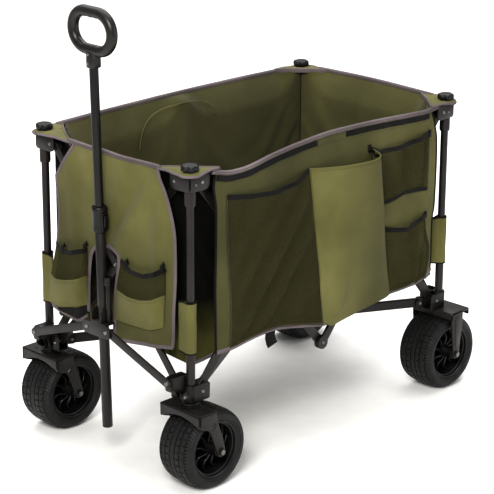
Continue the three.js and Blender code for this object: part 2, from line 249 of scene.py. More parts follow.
class Mat:
    def __init__(self, name):
        self.m = bpy.data.materials.new(name)
        self.m.use_nodes = True
        self.t = self.m.node_tree
        self.t.nodes.clear()
        self.out = self.t.nodes.new("ShaderNodeOutputMaterial")
        self.p = self.t.nodes.new("ShaderNodeBsdfPrincipled")
        self.t.links.new(self.p.outputs[0], self.out.inputs[0])
        self.tc = self.t.nodes.new("ShaderNodeTexCoord")

    def new(self, kind, **k):
        n = self.t.nodes.new(kind)
        for a, v in k.items():
            setattr(n, a, v)
        return n

    def link(self, a, b):
        self.t.links.new(a, b)

    def math(self, op, a, b=None):
        n = self.new("ShaderNodeMath", operation=op)
        for i, v in enumerate((a, b)):
            if v is None:
                continue
            if isinstance(v, (int, float)):
                n.inputs[i].default_value = v
            else:
                self.link(v, n.inputs[i])
        return n.outputs[0]

    def noise(self, scale, detail=3.0, rough=0.55, stretch=None):
        n = self.new("ShaderNodeTexNoise")
        n.inputs["Scale"].default_value = scale
        n.inputs["Detail"].default_value = detail
        n.inputs["Roughness"].default_value = rough
        if stretch:
            mp = self.new("ShaderNodeMapping")
            mp.inputs["Scale"].default_value = stretch
            self.link(self.tc.outputs["Object"], mp.inputs["Vector"])
            self.link(mp.outputs[0], n.inputs["Vector"])
        else:
            self.link(self.tc.outputs["Object"], n.inputs["Vector"])
        return n.outputs["Fac"]

    def ramp(self, fac, *stops):
        n = self.new("ShaderNodeValToRGB")
        while len(n.color_ramp.elements) < len(stops):
            n.color_ramp.elements.new(0.5)
        for e, (pos, col) in zip(n.color_ramp.elements, stops):
            e.position = pos
            e.color = col
        self.link(fac, n.inputs[0])
        return n.outputs[0]

    def spread(self, fac, lo, hi, flo=0.3, fhi=0.7):
        n = self.new("ShaderNodeMapRange")
        n.inputs["From Min"].default_value = flo
        n.inputs["From Max"].default_value = fhi
        n.inputs["To Min"].default_value = lo
        n.inputs["To Max"].default_value = hi
        self.link(fac, n.inputs["Value"])
        return n.outputs[0]

    def bump(self, *layers):
        prev = None
        for height, dist, strength in layers:
            n = self.new("ShaderNodeBump")
            n.inputs["Distance"].default_value = dist
            n.inputs["Strength"].default_value = strength
            self.link(height, n.inputs["Height"])
            if prev is not None:
                self.link(prev, n.inputs["Normal"])
            prev = n.outputs[0]
        self.link(prev, self.p.inputs["Normal"])

    def set(self, **k):
        for a, v in k.items():
            self.p.inputs[a.replace("_", " ")].default_value = v


def woven(name, dark, mid, light, pitch=1.5, floor=False, sheen=0.12, rough=0.9, depth=0.0003, foot=None, fade=None):
    """Plain-woven cloth: fine weave, slub noise and broad tonal change, with optional painted shade: near-black above a
    height, or darker along one axis.
    """
    m = Mat(name)
    sep = m.new("ShaderNodeSeparateXYZ")
    m.link(m.tc.outputs["Object"], sep.inputs[0])
    k = 2 * math.pi / (pitch / 1000)
    u = m.math("ADD", sep.outputs[0], sep.outputs[1]) if not floor else sep.outputs[0]
    v = sep.outputs[2] if not floor else sep.outputs[1]
    su = m.math("SINE", m.math("MULTIPLY", u, k))
    sv = m.math("SINE", m.math("MULTIPLY", v, k))
    weave = m.math("MULTIPLY", su, sv)
    grain = m.noise(1400, 2.0)
    slub = m.noise(260, 3.0, 0.6, (1, 1, 4))
    broad = m.noise(5.5, 4.0, 0.55)
    blend = m.math("ADD", m.math("MULTIPLY", broad, 0.75), m.math("MULTIPLY", grain, 0.16))
    blend = m.math("ADD", blend, m.math("MULTIPLY", slub, 0.14))
    blend = m.math("ADD", blend, m.math("MULTIPLY", weave, 0.035))
    cloth = m.ramp(blend, (0.36, dark), (0.54, mid), (0.72, light))
    if foot:
        # painted shade: near-black above a height, standing in for the shade in the gap between the skirts and the tub;
        # the cloth colour only along its foot
        up = m.new("ShaderNodeMapRange")
        up.inputs["From Min"].default_value, up.inputs["From Max"].default_value = foot
        m.link(m.math("ADD", sep.outputs[2], m.math("MULTIPLY", broad, 0.03)), up.inputs["Value"])
        painted_shade_mix = m.new("ShaderNodeMix", data_type="RGBA")
        m.link(up.outputs[0], painted_shade_mix.inputs[0])
        m.link(cloth, painted_shade_mix.inputs[6])
        painted_shade_mix.inputs[7].default_value = lin(8, 8, 5)
        cloth = painted_shade_mix.outputs[2]
    if fade:
        # painted shade: the colour is scaled darker along one axis of the hanging panels, standing in for the shade
        # that falls on them
        up = m.new("ShaderNodeMapRange")
        up.inputs["From Min"].default_value, up.inputs["From Max"].default_value = fade[:2]
        up.inputs["To Min"].default_value, up.inputs["To Max"].default_value = fade[2:4]
        m.link(m.math("ADD", sep.outputs[fade[4] if len(fade) > 4 else 2], m.math("MULTIPLY", broad, 0.05)), up.inputs["Value"])
        sc = m.new("ShaderNodeVectorMath", operation="SCALE")
        m.link(cloth, sc.inputs[0])
        m.link(up.outputs[0], sc.inputs["Scale"])
        cloth = sc.outputs[0]
    m.link(cloth, m.p.inputs["Base Color"])
    m.link(m.spread(slub, rough - 0.07, min(1.0, rough + 0.05)), m.p.inputs["Roughness"])
    m.bump((weave, depth, 0.55), (grain, 0.0004, 0.35), (m.noise(45, 4.0), 0.002, 0.35))
    m.set(Sheen_Weight=sheen * 0.5, Sheen_Roughness=0.5, Specular_IOR_Level=0.14)
    return m.m


OLIVE = woven("olive_cloth", lin(78, 76, 42), lin(93, 91, 53), lin(110, 107, 67))
# front panel cloth with painted shade: darker towards the bottom, a little lighter at the top
OLIVE_FRONT_PAINTED_SHADE = woven("olive_cloth_front", lin(78, 76, 42), lin(93, 91, 53), lin(110, 107, 67), fade=(0.42, 0.665, 0.62, 1.06))
# near panel cloth with painted shade: darker all over, most towards the front end
OLIVE_NEAR_PAINTED_SHADE = woven("olive_cloth_near", lin(78, 76, 42), lin(93, 91, 53), lin(110, 107, 67), fade=(0.03 + SH / 1000, 0.25 + SH / 1000, 0.50, 0.76, 0))
# middle pocket cloth with painted shade: darker towards its rear (right) side
OLIVE_POCKET_PAINTED_SHADE = woven("olive_cloth_pocket", lin(78, 76, 42), lin(93, 91, 53), lin(110, 107, 67), fade=(0.03 + SH / 1000, 0.15 + SH / 1000, 1.0, 0.68, 0))
# a darker copy of the lining for the far and front walls: painted shade inside the tub
OLIVE_IN_PAINTED_SHADE = woven("olive_lining_far", lin(57, 56, 32), lin(68, 66, 40), lin(79, 77, 48), pitch=1.7)
OLIVE_IN = woven("olive_lining", lin(65, 64, 37), lin(77, 75, 46), lin(89, 86, 54), pitch=1.7)
# outer face of the tub: a darker copy of the lining, near-black above about 420 mm, all of it painted shade
OUTER_PAINTED_SHADE = woven("outer_lining", lin(60, 58, 28), lin(72, 70, 35), lin(86, 83, 44), pitch=1.7, sheen=0.0, rough=0.95, foot=(0.325, 0.42))
OLIVE_FLOOR = woven("olive_floor", lin(68, 65, 35), lin(80, 76, 42), lin(92, 87, 50), pitch=1.7, floor=True)
BINDING = woven("grey_binding", lin(82, 75, 76), lin(101, 92, 94), lin(120, 111, 112), pitch=1.1, sheen=0.05, rough=0.82, depth=0.0004)
WEBBING = woven("black_webbing", lin(9, 9, 8), lin(15, 14, 13), lin(24, 23, 22), pitch=2.2, sheen=0.05, rough=0.78, depth=0.0006)


def paint(name, rgb, rough=0.42, metal=0.35, var=7, coat=0.0):
    """Powder-coated steel: orange peel, faint tonal change and dull rubbed patches."""
    m = Mat(name)
    r, g, b = rgb
    broad = m.noise(14, 5.0, 0.6)
    fine = m.noise(420, 3.0)
    f = m.math("ADD", m.math("MULTIPLY", broad, 0.7), m.math("MULTIPLY", fine, 0.3))
    lo = lin(max(0, r - var), max(0, g - var), max(0, b - var))
    hi = lin(r + var, g + var, b + var)
    m.link(m.ramp(f, (0.36, lo), (0.5, lin(r, g, b)), (0.66, hi)), m.p.inputs["Base Color"])
    m.link(m.spread(m.noise(30, 6.0, 0.7), rough - 0.07, rough + 0.12), m.p.inputs["Roughness"])
    m.bump((fine, 0.00025, 0.25), (m.noise(1600, 2.0), 0.0001, 0.2))
    m.set(Metallic=metal, Coat_Weight=coat, Coat_Roughness=0.3, Specular_IOR_Level=0.32)
    return m.m


BRONZE = paint("bronze_powder_coat", (33, 30, 29), 0.36, 0.25, 5)
STEEL_BLACK = paint("black_powder_coat", (15, 14, 13), 0.38, 0.15, 4)
TUBE_BLACK = paint("handle_tube_coat", (19, 18, 16), 0.30, 0.2, 5)
GRIP = paint("moulded_grip", (26, 24, 22), 0.33, 0.0, 4)
PLASTIC = paint("moulded_black", (15, 14, 13), 0.42, 0.0, 4)
RIMBLACK = paint("wheel_rim_plastic", (15, 15, 15), 0.38, 0.0, 3)


def rubber():
    m = Mat("tyre_rubber")
    broad, fine = m.noise(22, 5.0, 0.6), m.noise(700, 3.0)
    f = m.math("ADD", m.math("MULTIPLY", broad, 0.6), m.math("MULTIPLY", fine, 0.4))
    m.link(m.ramp(f, (0.36, lin(5, 5, 5)), (0.52, lin(9, 9, 9)), (0.68, lin(17, 16, 15))), m.p.inputs["Base Color"])
    m.link(m.spread(m.noise(60, 5.0), 0.50, 0.70), m.p.inputs["Roughness"])
    m.bump((fine, 0.0003, 0.35), (m.noise(120, 3.0), 0.0006, 0.2))
    m.set(Specular_IOR_Level=0.36)
    return m.m


def zinc():
    m = Mat("zinc_plated")
    f = m.noise(900, 3.0, 0.6, (1, 1, 1))
    m.link(m.ramp(f, (0.35, lin(78, 76, 73)), (0.65, lin(140, 138, 133))), m.p.inputs["Base Color"])
    m.link(m.spread(m.noise(300, 4.0), 0.22, 0.42), m.p.inputs["Roughness"])
    m.bump((f, 0.0001, 0.3))
    m.set(Metallic=1.0)
    return m.m


def net_yarn():
    m = Mat("net_yarn")
    f = m.noise(500, 3.0)
    m.link(m.ramp(f, (0.35, lin(42, 41, 23)), (0.65, lin(69, 67, 41))), m.p.inputs["Base Color"])
    m.link(m.spread(f, 0.7, 0.9), m.p.inputs["Roughness"])
    m.bump((f, 0.0003, 0.4))
    m.set(Specular_IOR_Level=0.12)
    return m.m


RUBBER, ZINC, NET = rubber(), zinc(), net_yarn()
SLOTS = {"olive_cloth": "olive_fabric", "olive_lining": "olive_fabric", "olive_floor": "olive_fabric",
         "bronze_powder_coat": "bronze_paint", "black_powder_coat": "black_paint", "handle_tube_coat": "black_paint",
         "moulded_grip": "grip_plastic", "moulded_black": "knob_plastic", "wheel_rim_plastic": "rim_plastic",
         "tyre_rubber": "tyre_rubber", "zinc_plated": "bolt_steel"}


# ------------------------------------------------------------------ mesh building
class Shell:
    """Closed pieces added to one mesh. Coordinates are millimetres in the frame that at= maps to metres."""

    def __init__(self):
        self.v, self.f, self.m, self.sm = [], [], [], []
        self.mats = []

    def _mat(self, mat):
        if mat not in self.mats:
            self.mats.append(mat)
        return self.mats.index(mat)

    def add(self, verts, faces, mat, at=W):
        base, k = len(self.v), self._mat(mat)
        flip = at.to_3x3().determinant() < 0
        self.v += [at @ Vector(p) for p in verts]
        for f in faces:
            g = [base + i for i in f]
            self.f.append(g[::-1] if flip else g)
            self.m.append(k)

    def _bm(self, bm, mat, at, bevel=0.0, seg=2, angle=35):
        bmesh.ops.recalc_face_normals(bm, faces=bm.faces)
        if bevel > 0:
            edges = [e for e in bm.edges if len(e.link_faces) == 2 and e.calc_face_angle(0) > math.radians(angle)]
            bmesh.ops.bevel(bm, geom=edges, offset=bevel, segments=seg, profile=0.5, affect="EDGES", clamp_overlap=True)
        bm.verts.index_update()
        self.add([v.co.copy() for v in bm.verts], [[v.index for v in f.verts] for f in bm.faces], mat, at)
        bm.free()

    def box(self, x0, x1, y0, y1, z0, z1, mat, bevel=0.8, seg=2, at=W):
        bm = bmesh.new()
        bmesh.ops.create_cube(bm, size=1)
        for v in bm.verts:
            v.co = Vector((lerp(x0, x1, v.co.x + 0.5), lerp(y0, y1, v.co.y + 0.5), lerp(z0, z1, v.co.z + 0.5)))
        self._bm(bm, mat, at, bevel, seg)

    def prism(self, outline, t0, t1, axis, mat, bevel=0.8, seg=2, at=W, angle=35):
        """outline (a, b): (x, z) for axis y, (y, z) for axis x, (x, y) for axis z."""
        bm = bmesh.new()

        def put(a, b, t):
            return {"x": (t, a, b), "y": (a, t, b), "z": (a, b, t)}[axis]
        lo = [bm.verts.new(put(a, b, t0)) for a, b in outline]
        hi = [bm.verts.new(put(a, b, t1)) for a, b in outline]
        n = len(outline)
        bm.faces.new(lo)
        bm.faces.new(hi[::-1])
        for i in range(n):
            bm.faces.new((lo[i], hi[i], hi[(i + 1) % n], lo[(i + 1) % n]))
        self._bm(bm, mat, at, bevel, seg, angle)

    def lathe(self, prof, mat, n=48, axis="z", c=(0, 0, 0), at=W, close=True):
        """prof (r, t) along the axis from c. A point with r 0 is a pole. close joins the last to the first."""
        verts, rings, faces = [], [], []
        for r, t in prof:
            if r < 1e-6:
                rings.append([len(verts)] * n)
                verts.append((0, 0, t))
            else:
                rings.append(list(range(len(verts), len(verts) + n)))
                verts += [(r * math.cos(2 * math.pi * i / n), r * math.sin(2 * math.pi * i / n), t) for i in range(n)]
        m = len(rings)
        for j in range(m if close else m - 1):
            a, b = rings[j], rings[(j + 1) % m]
            for i in range(n):
                q = [a[i], a[(i + 1) % n], b[(i + 1) % n], b[i]]
                q = [x for k, x in enumerate(q) if x != q[k - 1]]
                if len(q) > 2 and len(set(q)) == len(q):
                    faces.append(q)
        area = sum(prof[i][0] * prof[(i + 1) % m][1] - prof[(i + 1) % m][0] * prof[i][1] for i in range(m))
        if area < 0:
            faces = [f[::-1] for f in faces]
        put = {"z": lambda p: (p[0] + c[0], p[1] + c[1], p[2] + c[2]),
               "y": lambda p: (p[1] + c[0], p[2] + c[1], p[0] + c[2]),
               "x": lambda p: (p[2] + c[0], p[0] + c[1], p[1] + c[2])}[axis]
        self.add([put(p) for p in verts], faces, mat, at)

    def rod(self, a, b, r, mat, n=24, edge=0.8, axis="z", c=(0, 0, 0), at=W):
        e = min(edge, abs(b - a) / 3, r / 2)
        k = 0.3 * e
        self.lathe([(0, a), (r - e, a), (r - k, a + k), (r, a + e), (r, b - e), (r - k, b - k), (r - e, b), (0, b)], mat, n, axis, c, at)

    def pipe(self, a, b, r, bore, mat, n=40, edge=0.6, axis="z", c=(0, 0, 0), at=W):
        e = edge
        self.lathe([(bore, a), (r - e, a), (r, a + e), (r, b - e), (r - e, b), (bore, b)], mat, n, axis, c, at)

    def sweep(self, pts, section, mat, normal, closed=False, at=W, scale=None):
        """Section (side, out) swept along pts; normal gives the out direction at each point."""
        n, k = len(pts), len(section)
        pts = [Vector(p) for p in pts]
        verts, faces = [], []
        for i, p in enumerate(pts):
            a = pts[(i - 1) % n] if closed or i else pts[0]
            b = pts[(i + 1) % n] if closed or i < n - 1 else pts[-1]
            t = (b - a).normalized()
            o = normal(i, p) if callable(normal) else Vector(normal)
            o = (o - t * o.dot(t)).normalized()
            s = t.cross(o)
            q = scale(i) if scale else 1.0
            verts += [p + s * (u * q) + o * (w * q) for u, w in section]
        for i in range(n if closed else n - 1):
            j = (i + 1) % n
            for m in range(k):
                faces.append([i * k + m, j * k + m, j * k + (m + 1) % k, i * k + (m + 1) % k])
        if not closed:
            faces.append(list(range(k))[::1])
            faces.append([(n - 1) * k + m for m in range(k)][::-1])
        bm = bmesh.new()
        bv = [bm.verts.new(v) for v in verts]
        for f in faces:
            try:
                bm.faces.new([bv[x] for x in f])
            except ValueError:
                pass
        self._bm(bm, mat, at)

    def done(self, name, body, *nodes, sharp=38, smooth_all=False, slot=True, subdiv=0):
        me = bpy.data.meshes.new(name)
        me.from_pydata([tuple(v) for v in self.v], [], self.f)
        for m in self.mats:
            me.materials.append(m)
        me.polygons.foreach_set("material_index", self.m)
        me.validate()
        bm = bmesh.new()
        bm.from_mesh(me)
        bmesh.ops.remove_doubles(bm, verts=bm.verts, dist=1e-6)
        for f in bm.faces:
            f.smooth = True
        for e in bm.edges:
            if len(e.link_faces) == 2:
                e.smooth = smooth_all or e.calc_face_angle(0) < math.radians(sharp)
        bm.to_mesh(me)
        bm.free()
        o = bpy.data.objects.new(name, me)
        scene.collection.objects.link(o)
        if subdiv:
            s = o.modifiers.new("subdivision", "SUBSURF")
            s.levels = s.render_levels = subdiv
        if body:
            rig.ride(o, body)
        if nodes:
            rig.replaces(o, *nodes)
        if slot and self.mats[0].name in SLOTS:
            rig.slot(o, SLOTS[self.mats[0].name])
        return o


def round_rect(w, h, r, n=3):
    r = min(r, w / 2 - 1e-3, h / 2 - 1e-3)
    out = []
    for cx, cy, a0 in ((w / 2 - r, h / 2 - r, 0), (-w / 2 + r, h / 2 - r, 90), (-w / 2 + r, -h / 2 + r, 180), (w / 2 - r, -h / 2 + r, 270)):
        for i in range(n + 1):
            a = math.radians(a0 + 90 * i / n)
            out.append((cx + r * math.cos(a), cy + r * math.sin(a)))
    return out


def frame_at(origin, u, n):
    """Local x along u, local z along n, in millimetres, to metres."""
    u, n = Vector(u).normalized(), Vector(n).normalized()
    v = n.cross(u)
    m = Matrix((u, v, n)).transposed().to_4x4()
    return W @ Matrix.Translation(origin) @ m


def rivet(s, c, axis, out, r=4.0, h=1.6, mat=None, at=W):
    """A domed rivet head standing out along an axis, with a hollow in its middle."""
    mat = mat or ZINC
    prof = [(0, 0.2), (0, h * 0.62), (r * 0.26, h * 0.62), (r * 0.38, h), (r * 0.7, h * 0.86), (r * 0.93, h * 0.45), (r, 0.0), (r, -0.6), (0, -0.6)]
    prof = [(a, b * out) for a, b in prof[1:]]
    s.lathe(prof, mat, 20, axis, c, at)


# ------------------------------------------------------------------ wheels
def tyre_mesh():
    n = 288
    half = [(0, 89.0), (3, 89.0), (5.2, 89.0), (6.0, 89.0), (7.4, 89.0), (8.2, 89.0), (12, 88.95), (16, 88.9), (19.0, 88.85), (19.8, 88.8), (21.2, 88.8), (22, 88.7),
            (26, 88.3), (30, 87.7), (32.4, 87.3), (33.2, 87.1), (34.6, 86.8), (35.4, 86.6), (38.5, 85.6), (41.5, 84.2), (44, 82.5), (46, 80.2), (47.4, 77.6), (48.1, 74.6),
            (48.3, 71.6), (47.9, 69.6), (47.0, 69.2), (46.6, 68.4), (45.6, 66.0), (43.6, 63.6), (41.8, 62.3), (40.0, 61.7)]
    prof = [(-y, r) for y, r in reversed(half)] + half[1:]

    def groove(th, y):
        a, s = abs(y), 1 if y > 0 else -1
        d = 0.0
        if 5.6 < a < 7.8 or 19.4 < a < 21.6 or 32.8 < a < 35.0:
            d = 1.0
        deg = math.degrees(th)
        if a < 5.6:
            ph = (deg / 10 + 0.02 * y) % 1
            if ph < 0.10:
                d = max(d, 0.25)
        elif a < 20:
            ph = (deg / 10 + s * 0.012 * a) % 1
            if ph < 0.13:
                d = 1.0
        elif a < 33:
            ph = (deg / 10 + 0.5 + s * 0.02 * a) % 1
            if ph < 0.13:
                d = 1.0
        elif a < 45.5:
            ph = (deg / 5 + s * 0.05 * a) % 1
            if ph < 0.30:
                d = max(d, 0.85 * smooth(45.5, 42, a) + 0.15)
        elif 46 < a < 48.2:
            ph = (deg / 5 + s * 0.05 * a) % 1
            if ph < 0.3:
                d = 0.22
        return d
    verts, faces = [], []
    for y, r in prof:
        for i in range(n):
            th = 2 * math.pi * i / n
            q = r - (2.3 * groove(th, y) if r > 76 else 0)
            verts.append((q * math.cos(th), y, q * math.sin(th)))
    m = len(prof)
    for j in range(m):
        k = (j + 1) % m
        for i in range(n):
            faces.append([j * n + i, j * n + (i + 1) % n, k * n + (i + 1) % n, k * n + i])
    return verts, faces


TYRE = tyre_mesh()


def rim_shell(s, at):
    barrel = [(61.4, -42.5), (63.4, -44.2), (63.8, -42.8), (62.0, -41.0), (61.2, -38), (61.2, 38), (62.0, 41.0), (63.8, 42.8), (63.4, 44.2), (61.4, 42.5),
              (59.2, 41.5), (58.2, 36.5), (55.8, 35.5), (55.0, 33.5), (54.4, 10), (54.4, -10), (55.0, -33.5), (55.8, -35.5), (58.2, -36.5), (59.2, -41.5)]
    s.lathe(barrel, RIMBLACK, 96, "y", (0, 0, 0), at)
    s.lathe([(6.0, -54), (11.5, -54), (12.4, -53), (13, -30), (16.5, -22), (18.5, -8), (18.5, 8), (16.5, 22), (13, 30), (12.4, 53), (11.5, 54), (6.0, 54)], RIMBLACK, 40, "y", (0, 0, 0), at)
    s.lathe([(17, -2.4), (55.5, -2.4), (55.5, 2.4), (17, 2.4)], RIMBLACK, 64, "y", (0, 0, 0), at)
    for side in (-1, 1):
        for k in range(10):
            base = 2 * math.pi * k / 10
            pts = []
            for i in range(15):
                t = i / 14
                r = lerp(14.5, 56.0, t)
                th = base + side * (0.34 * math.sin(math.pi * t * 1.15) + 0.12 * t)
                pts.append((r * math.cos(th), r * math.sin(th), t))
            verts, faces = [], []
            for i, (x, z, t) in enumerate(pts):
                a, b = pts[max(0, i - 1)], pts[min(14, i + 1)]
                d = Vector((b[0] - a[0], b[1] - a[1])).normalized()
                nx, nzz = -d.y * 1.7, d.x * 1.7
                top = side * lerp(27, 21, smooth(0, 1, t)) + side * 3 * math.sin(math.pi * t)
                low = side * 1.5
                cx, cz = nx * 0.55, nzz * 0.55
                verts += [(x - nx, low, z - nzz), (x - nx, top - side * 1.0, z - nzz), (x - cx, top, z - cz), (x + cx, top, z + cz), (x + nx, top - side * 1.0, z + nzz), (x + nx, low, z + nzz)]
            for i in range(14):
                for m in range(6):
                    faces.append([i * 6 + m, (i + 1) * 6 + m, (i + 1) * 6 + (m + 1) % 6, i * 6 + (m + 1) % 6])
            faces.append([5, 4, 3, 2, 1, 0])
            faces.append([14 * 6 + m for m in range(6)])
            bm = bmesh.new()
            bv = [bm.verts.new(v) for v in verts]
            for f in faces:
                bm.faces.new([bv[q] for q in f])
            s._bm(bm, RIMBLACK, at)


CORNERS = [("front_left", -1, -1), ("front_right", -1, 1), ("rear_left", 1, -1), ("rear_right", 1, 1)]
for where, sx, sy in CORNERS:
    ax = sx * PX + (TRAIL if sx < 0 else 0)
    at = W @ Matrix.Translation((ax, sy * PY, AXLE)) @ Matrix.Rotation(0.7 * (1 + sx + 2 * sy), 4, "Y")
    s = Shell()
    s.add(TYRE[0], [f[::-1] for f in TYRE[1]], RUBBER, at)
    s.done(f"tyre_tread_{where}", f"wheel_{where}", f"tyre_{where}", sharp=24)
    s = Shell()
    rim_shell(s, at)
    s.done(f"spoked_rim_{where}", f"wheel_{where}", f"wheel_rim_{where}", sharp=30)


# ------------------------------------------------------------------ forks and axles
def arm_outline(x0, x1, top, low, ax, r, bulge=0.0):
    pts = [(x0, top), (x0, low)]
    a0, a1 = math.pi * 1.04, math.pi * 2.16
    for i in range(15):
        a = lerp(a0, a1, i / 14)
        pts.append((ax + r * math.cos(a), AXLE + r * math.sin(a)))
    pts += [(x1, low), (x1, top)]
    return pts


def oval(cx, cz, a, b, n=28, tilt=0.0):
    return [(cx + a * math.cos(t) * math.cos(tilt) - b * math.sin(t) * math.sin(tilt), cz + a * math.cos(t) * math.sin(tilt) + b * math.sin(t) * math.cos(tilt))
            for t in (2 * math.pi * i / n for i in range(n))]


for where, sx, sy in CORNERS:
    front = sx < 0
    at = W @ Matrix.Translation((sx * PX, sy * PY, 0))
    s = Shell()
    ax = TRAIL if front else 0.0
    if front:
        top = 187
        s.box(-32, 18, -60, 60, 181, top, BRONZE, 2.2, 3, at)
        for y in (-60, 55.5):
            out = [(-32, top - 0.5), (-32, 163), (-29, 158), (-25, 155)]
            out += [(6, 140)] if False else []
            a0, a1 = math.pi * 1.06, math.pi * 2.12
            out += [(-6, 148), (1, 138)]
            for i in range(15):
                a = lerp(a0, a1, i / 14)
                out.append((ax + 11.5 * math.cos(a), AXLE + 11.5 * math.sin(a)))
            out += [(36, 120), (22, 158), (18, 172), (18, top - 0.5)]
            s.prism(out, y, y + 4.5, "y", BRONZE, 1.1, 2, at, 25)
        arc = [(-60, 186), (-60, 158), (-56, 157)]
        for i in range(17):
            t = i / 16
            arc.append((lerp(-52, 52, t), 160 + 12 * math.sin(math.pi * t)))
        arc += [(56, 157), (60, 158), (60, 186)]
        s.prism(arc, -32, -27.5, "x", BRONZE, 1.1, 2, at, 30)
        # pressed dimples on the two cheeks
        for y, d in ((-60.0, -1), (60.0, 1)):
            ring = oval(7, 152, 12, 5.2, 28, 0.7)
            inner = oval(7, 152, 8.5, 2.6, 28, 0.7)
            verts = [(a, y, b) for a, b in ring] + [(a, y + d * 1.5, b) for a, b in oval(7, 152, 10.4, 4.0, 28, 0.7)] + [(a, y + d * 0.3, b) for a, b in inner] + [(7, y + d * 0.1, 152)]
            faces = []
            for k in range(2):
                for i in range(28):
                    j = (i + 1) % 28
                    faces.append([k * 28 + i, k * 28 + j, (k + 1) * 28 + j, (k + 1) * 28 + i])
            faces += [[56 + i, 56 + (i + 1) % 28, 84] for i in range(28)]
            faces.append(list(range(28))[::-1])
            bm = bmesh.new()
            bv = [bm.verts.new(v) for v in verts]
            for f in faces:
                bm.faces.new([bv[q] for q in f])
            s._bm(bm, BRONZE, at)
        s.rod(186.5, 195.6, 17, STEEL_BLACK, 48, 1.4, at=at)
        s.rod(186, 203, 5.2, STEEL_BLACK, 24, 0.6, at=at)
        s.rod(187, 190.4, 21.5, STEEL_BLACK, 48, 1.0, at=at)
        for a in range(4):
            t = math.radians(45 + 90 * a)
            rivet(s, (-7 + 20 * math.cos(t) * 0.62, 42 * math.sin(t), 187), "z", 1, 3.0, 1.4, STEEL_BLACK, at)
    else:
        top = 195.7
        s.box(-24, 42, -60, 60, 189.5, top, BRONZE, 1.8, 3, at)
        for y in (-60, 55.5):
            out = [(-20, top - 0.5), (-20, 168), (-11.4, 100)]
            for i in range(15):
                a = lerp(math.pi * 1.02, math.pi * 1.98, i / 14)
                out.append((11.5 * math.cos(a), AXLE + 11.5 * math.sin(a)))
            out += [(11.4, 100), (20, 168), (20, top - 0.5)]
            s.prism(out, y, y + 4.5, "y", BRONZE, 1.1, 2, at, 25)
            d = -1 if y < 0 else 1
            face = y if y < 0 else 60
            pts = [(-9.5, 178), (-5.5, 182), (5.5, 182), (9.5, 178), (6.2, 112), (3.5, 108.5), (-3.5, 108.5), (-6.2, 112)]
            s.prism(pts, face - d * 1.0, face + d * 1.3, "y", BRONZE, 1.0, 3, at, 25)
        s.box(38, 42, -60, 60, 180, 194, BRONZE, 1.0, 2, at)
        s.box(-20, -16, -60, 60, 176, 194, BRONZE, 1.0, 2, at)
    s.done(f"caster_fork_{where}", f"caster_{where}" if front else f"corner_{where}", f"fork_{where}")
    s = Shell()
    s.rod(-63, 63, 4.9, ZINC, 24, 0.6, "y", (ax, 0, AXLE), at)
    for d in (-1, 1):
        s.lathe([(5.2, d * 60.3), (9.0, d * 60.3), (9.4, d * 60.8), (9.4, d * 61.8), (9.0, d * 62.2), (5.2, d * 62.2)], STEEL_BLACK, 32, "y", (ax, 0, AXLE), at)
        hexo = [(ax + 6.4 * math.cos(math.radians(60 * i + 12)), AXLE + 6.4 * math.sin(math.radians(60 * i + 12))) for i in range(6)]
        s.prism(hexo, d * 62.0, d * 65.2, "y", ZINC, 0.7, 2, at)
        s.lathe([(0, d * 65.0), (0, d * 66.0), (3.4, d * 65.9), (4.4, d * 65.4), (4.4, d * 64.6)], ZINC, 24, "y", (ax, 0, AXLE), at)
    s.done(f"wheel_axle_{where}", f"caster_{where}" if front else f"corner_{where}", f"axle_bolt_{where}")


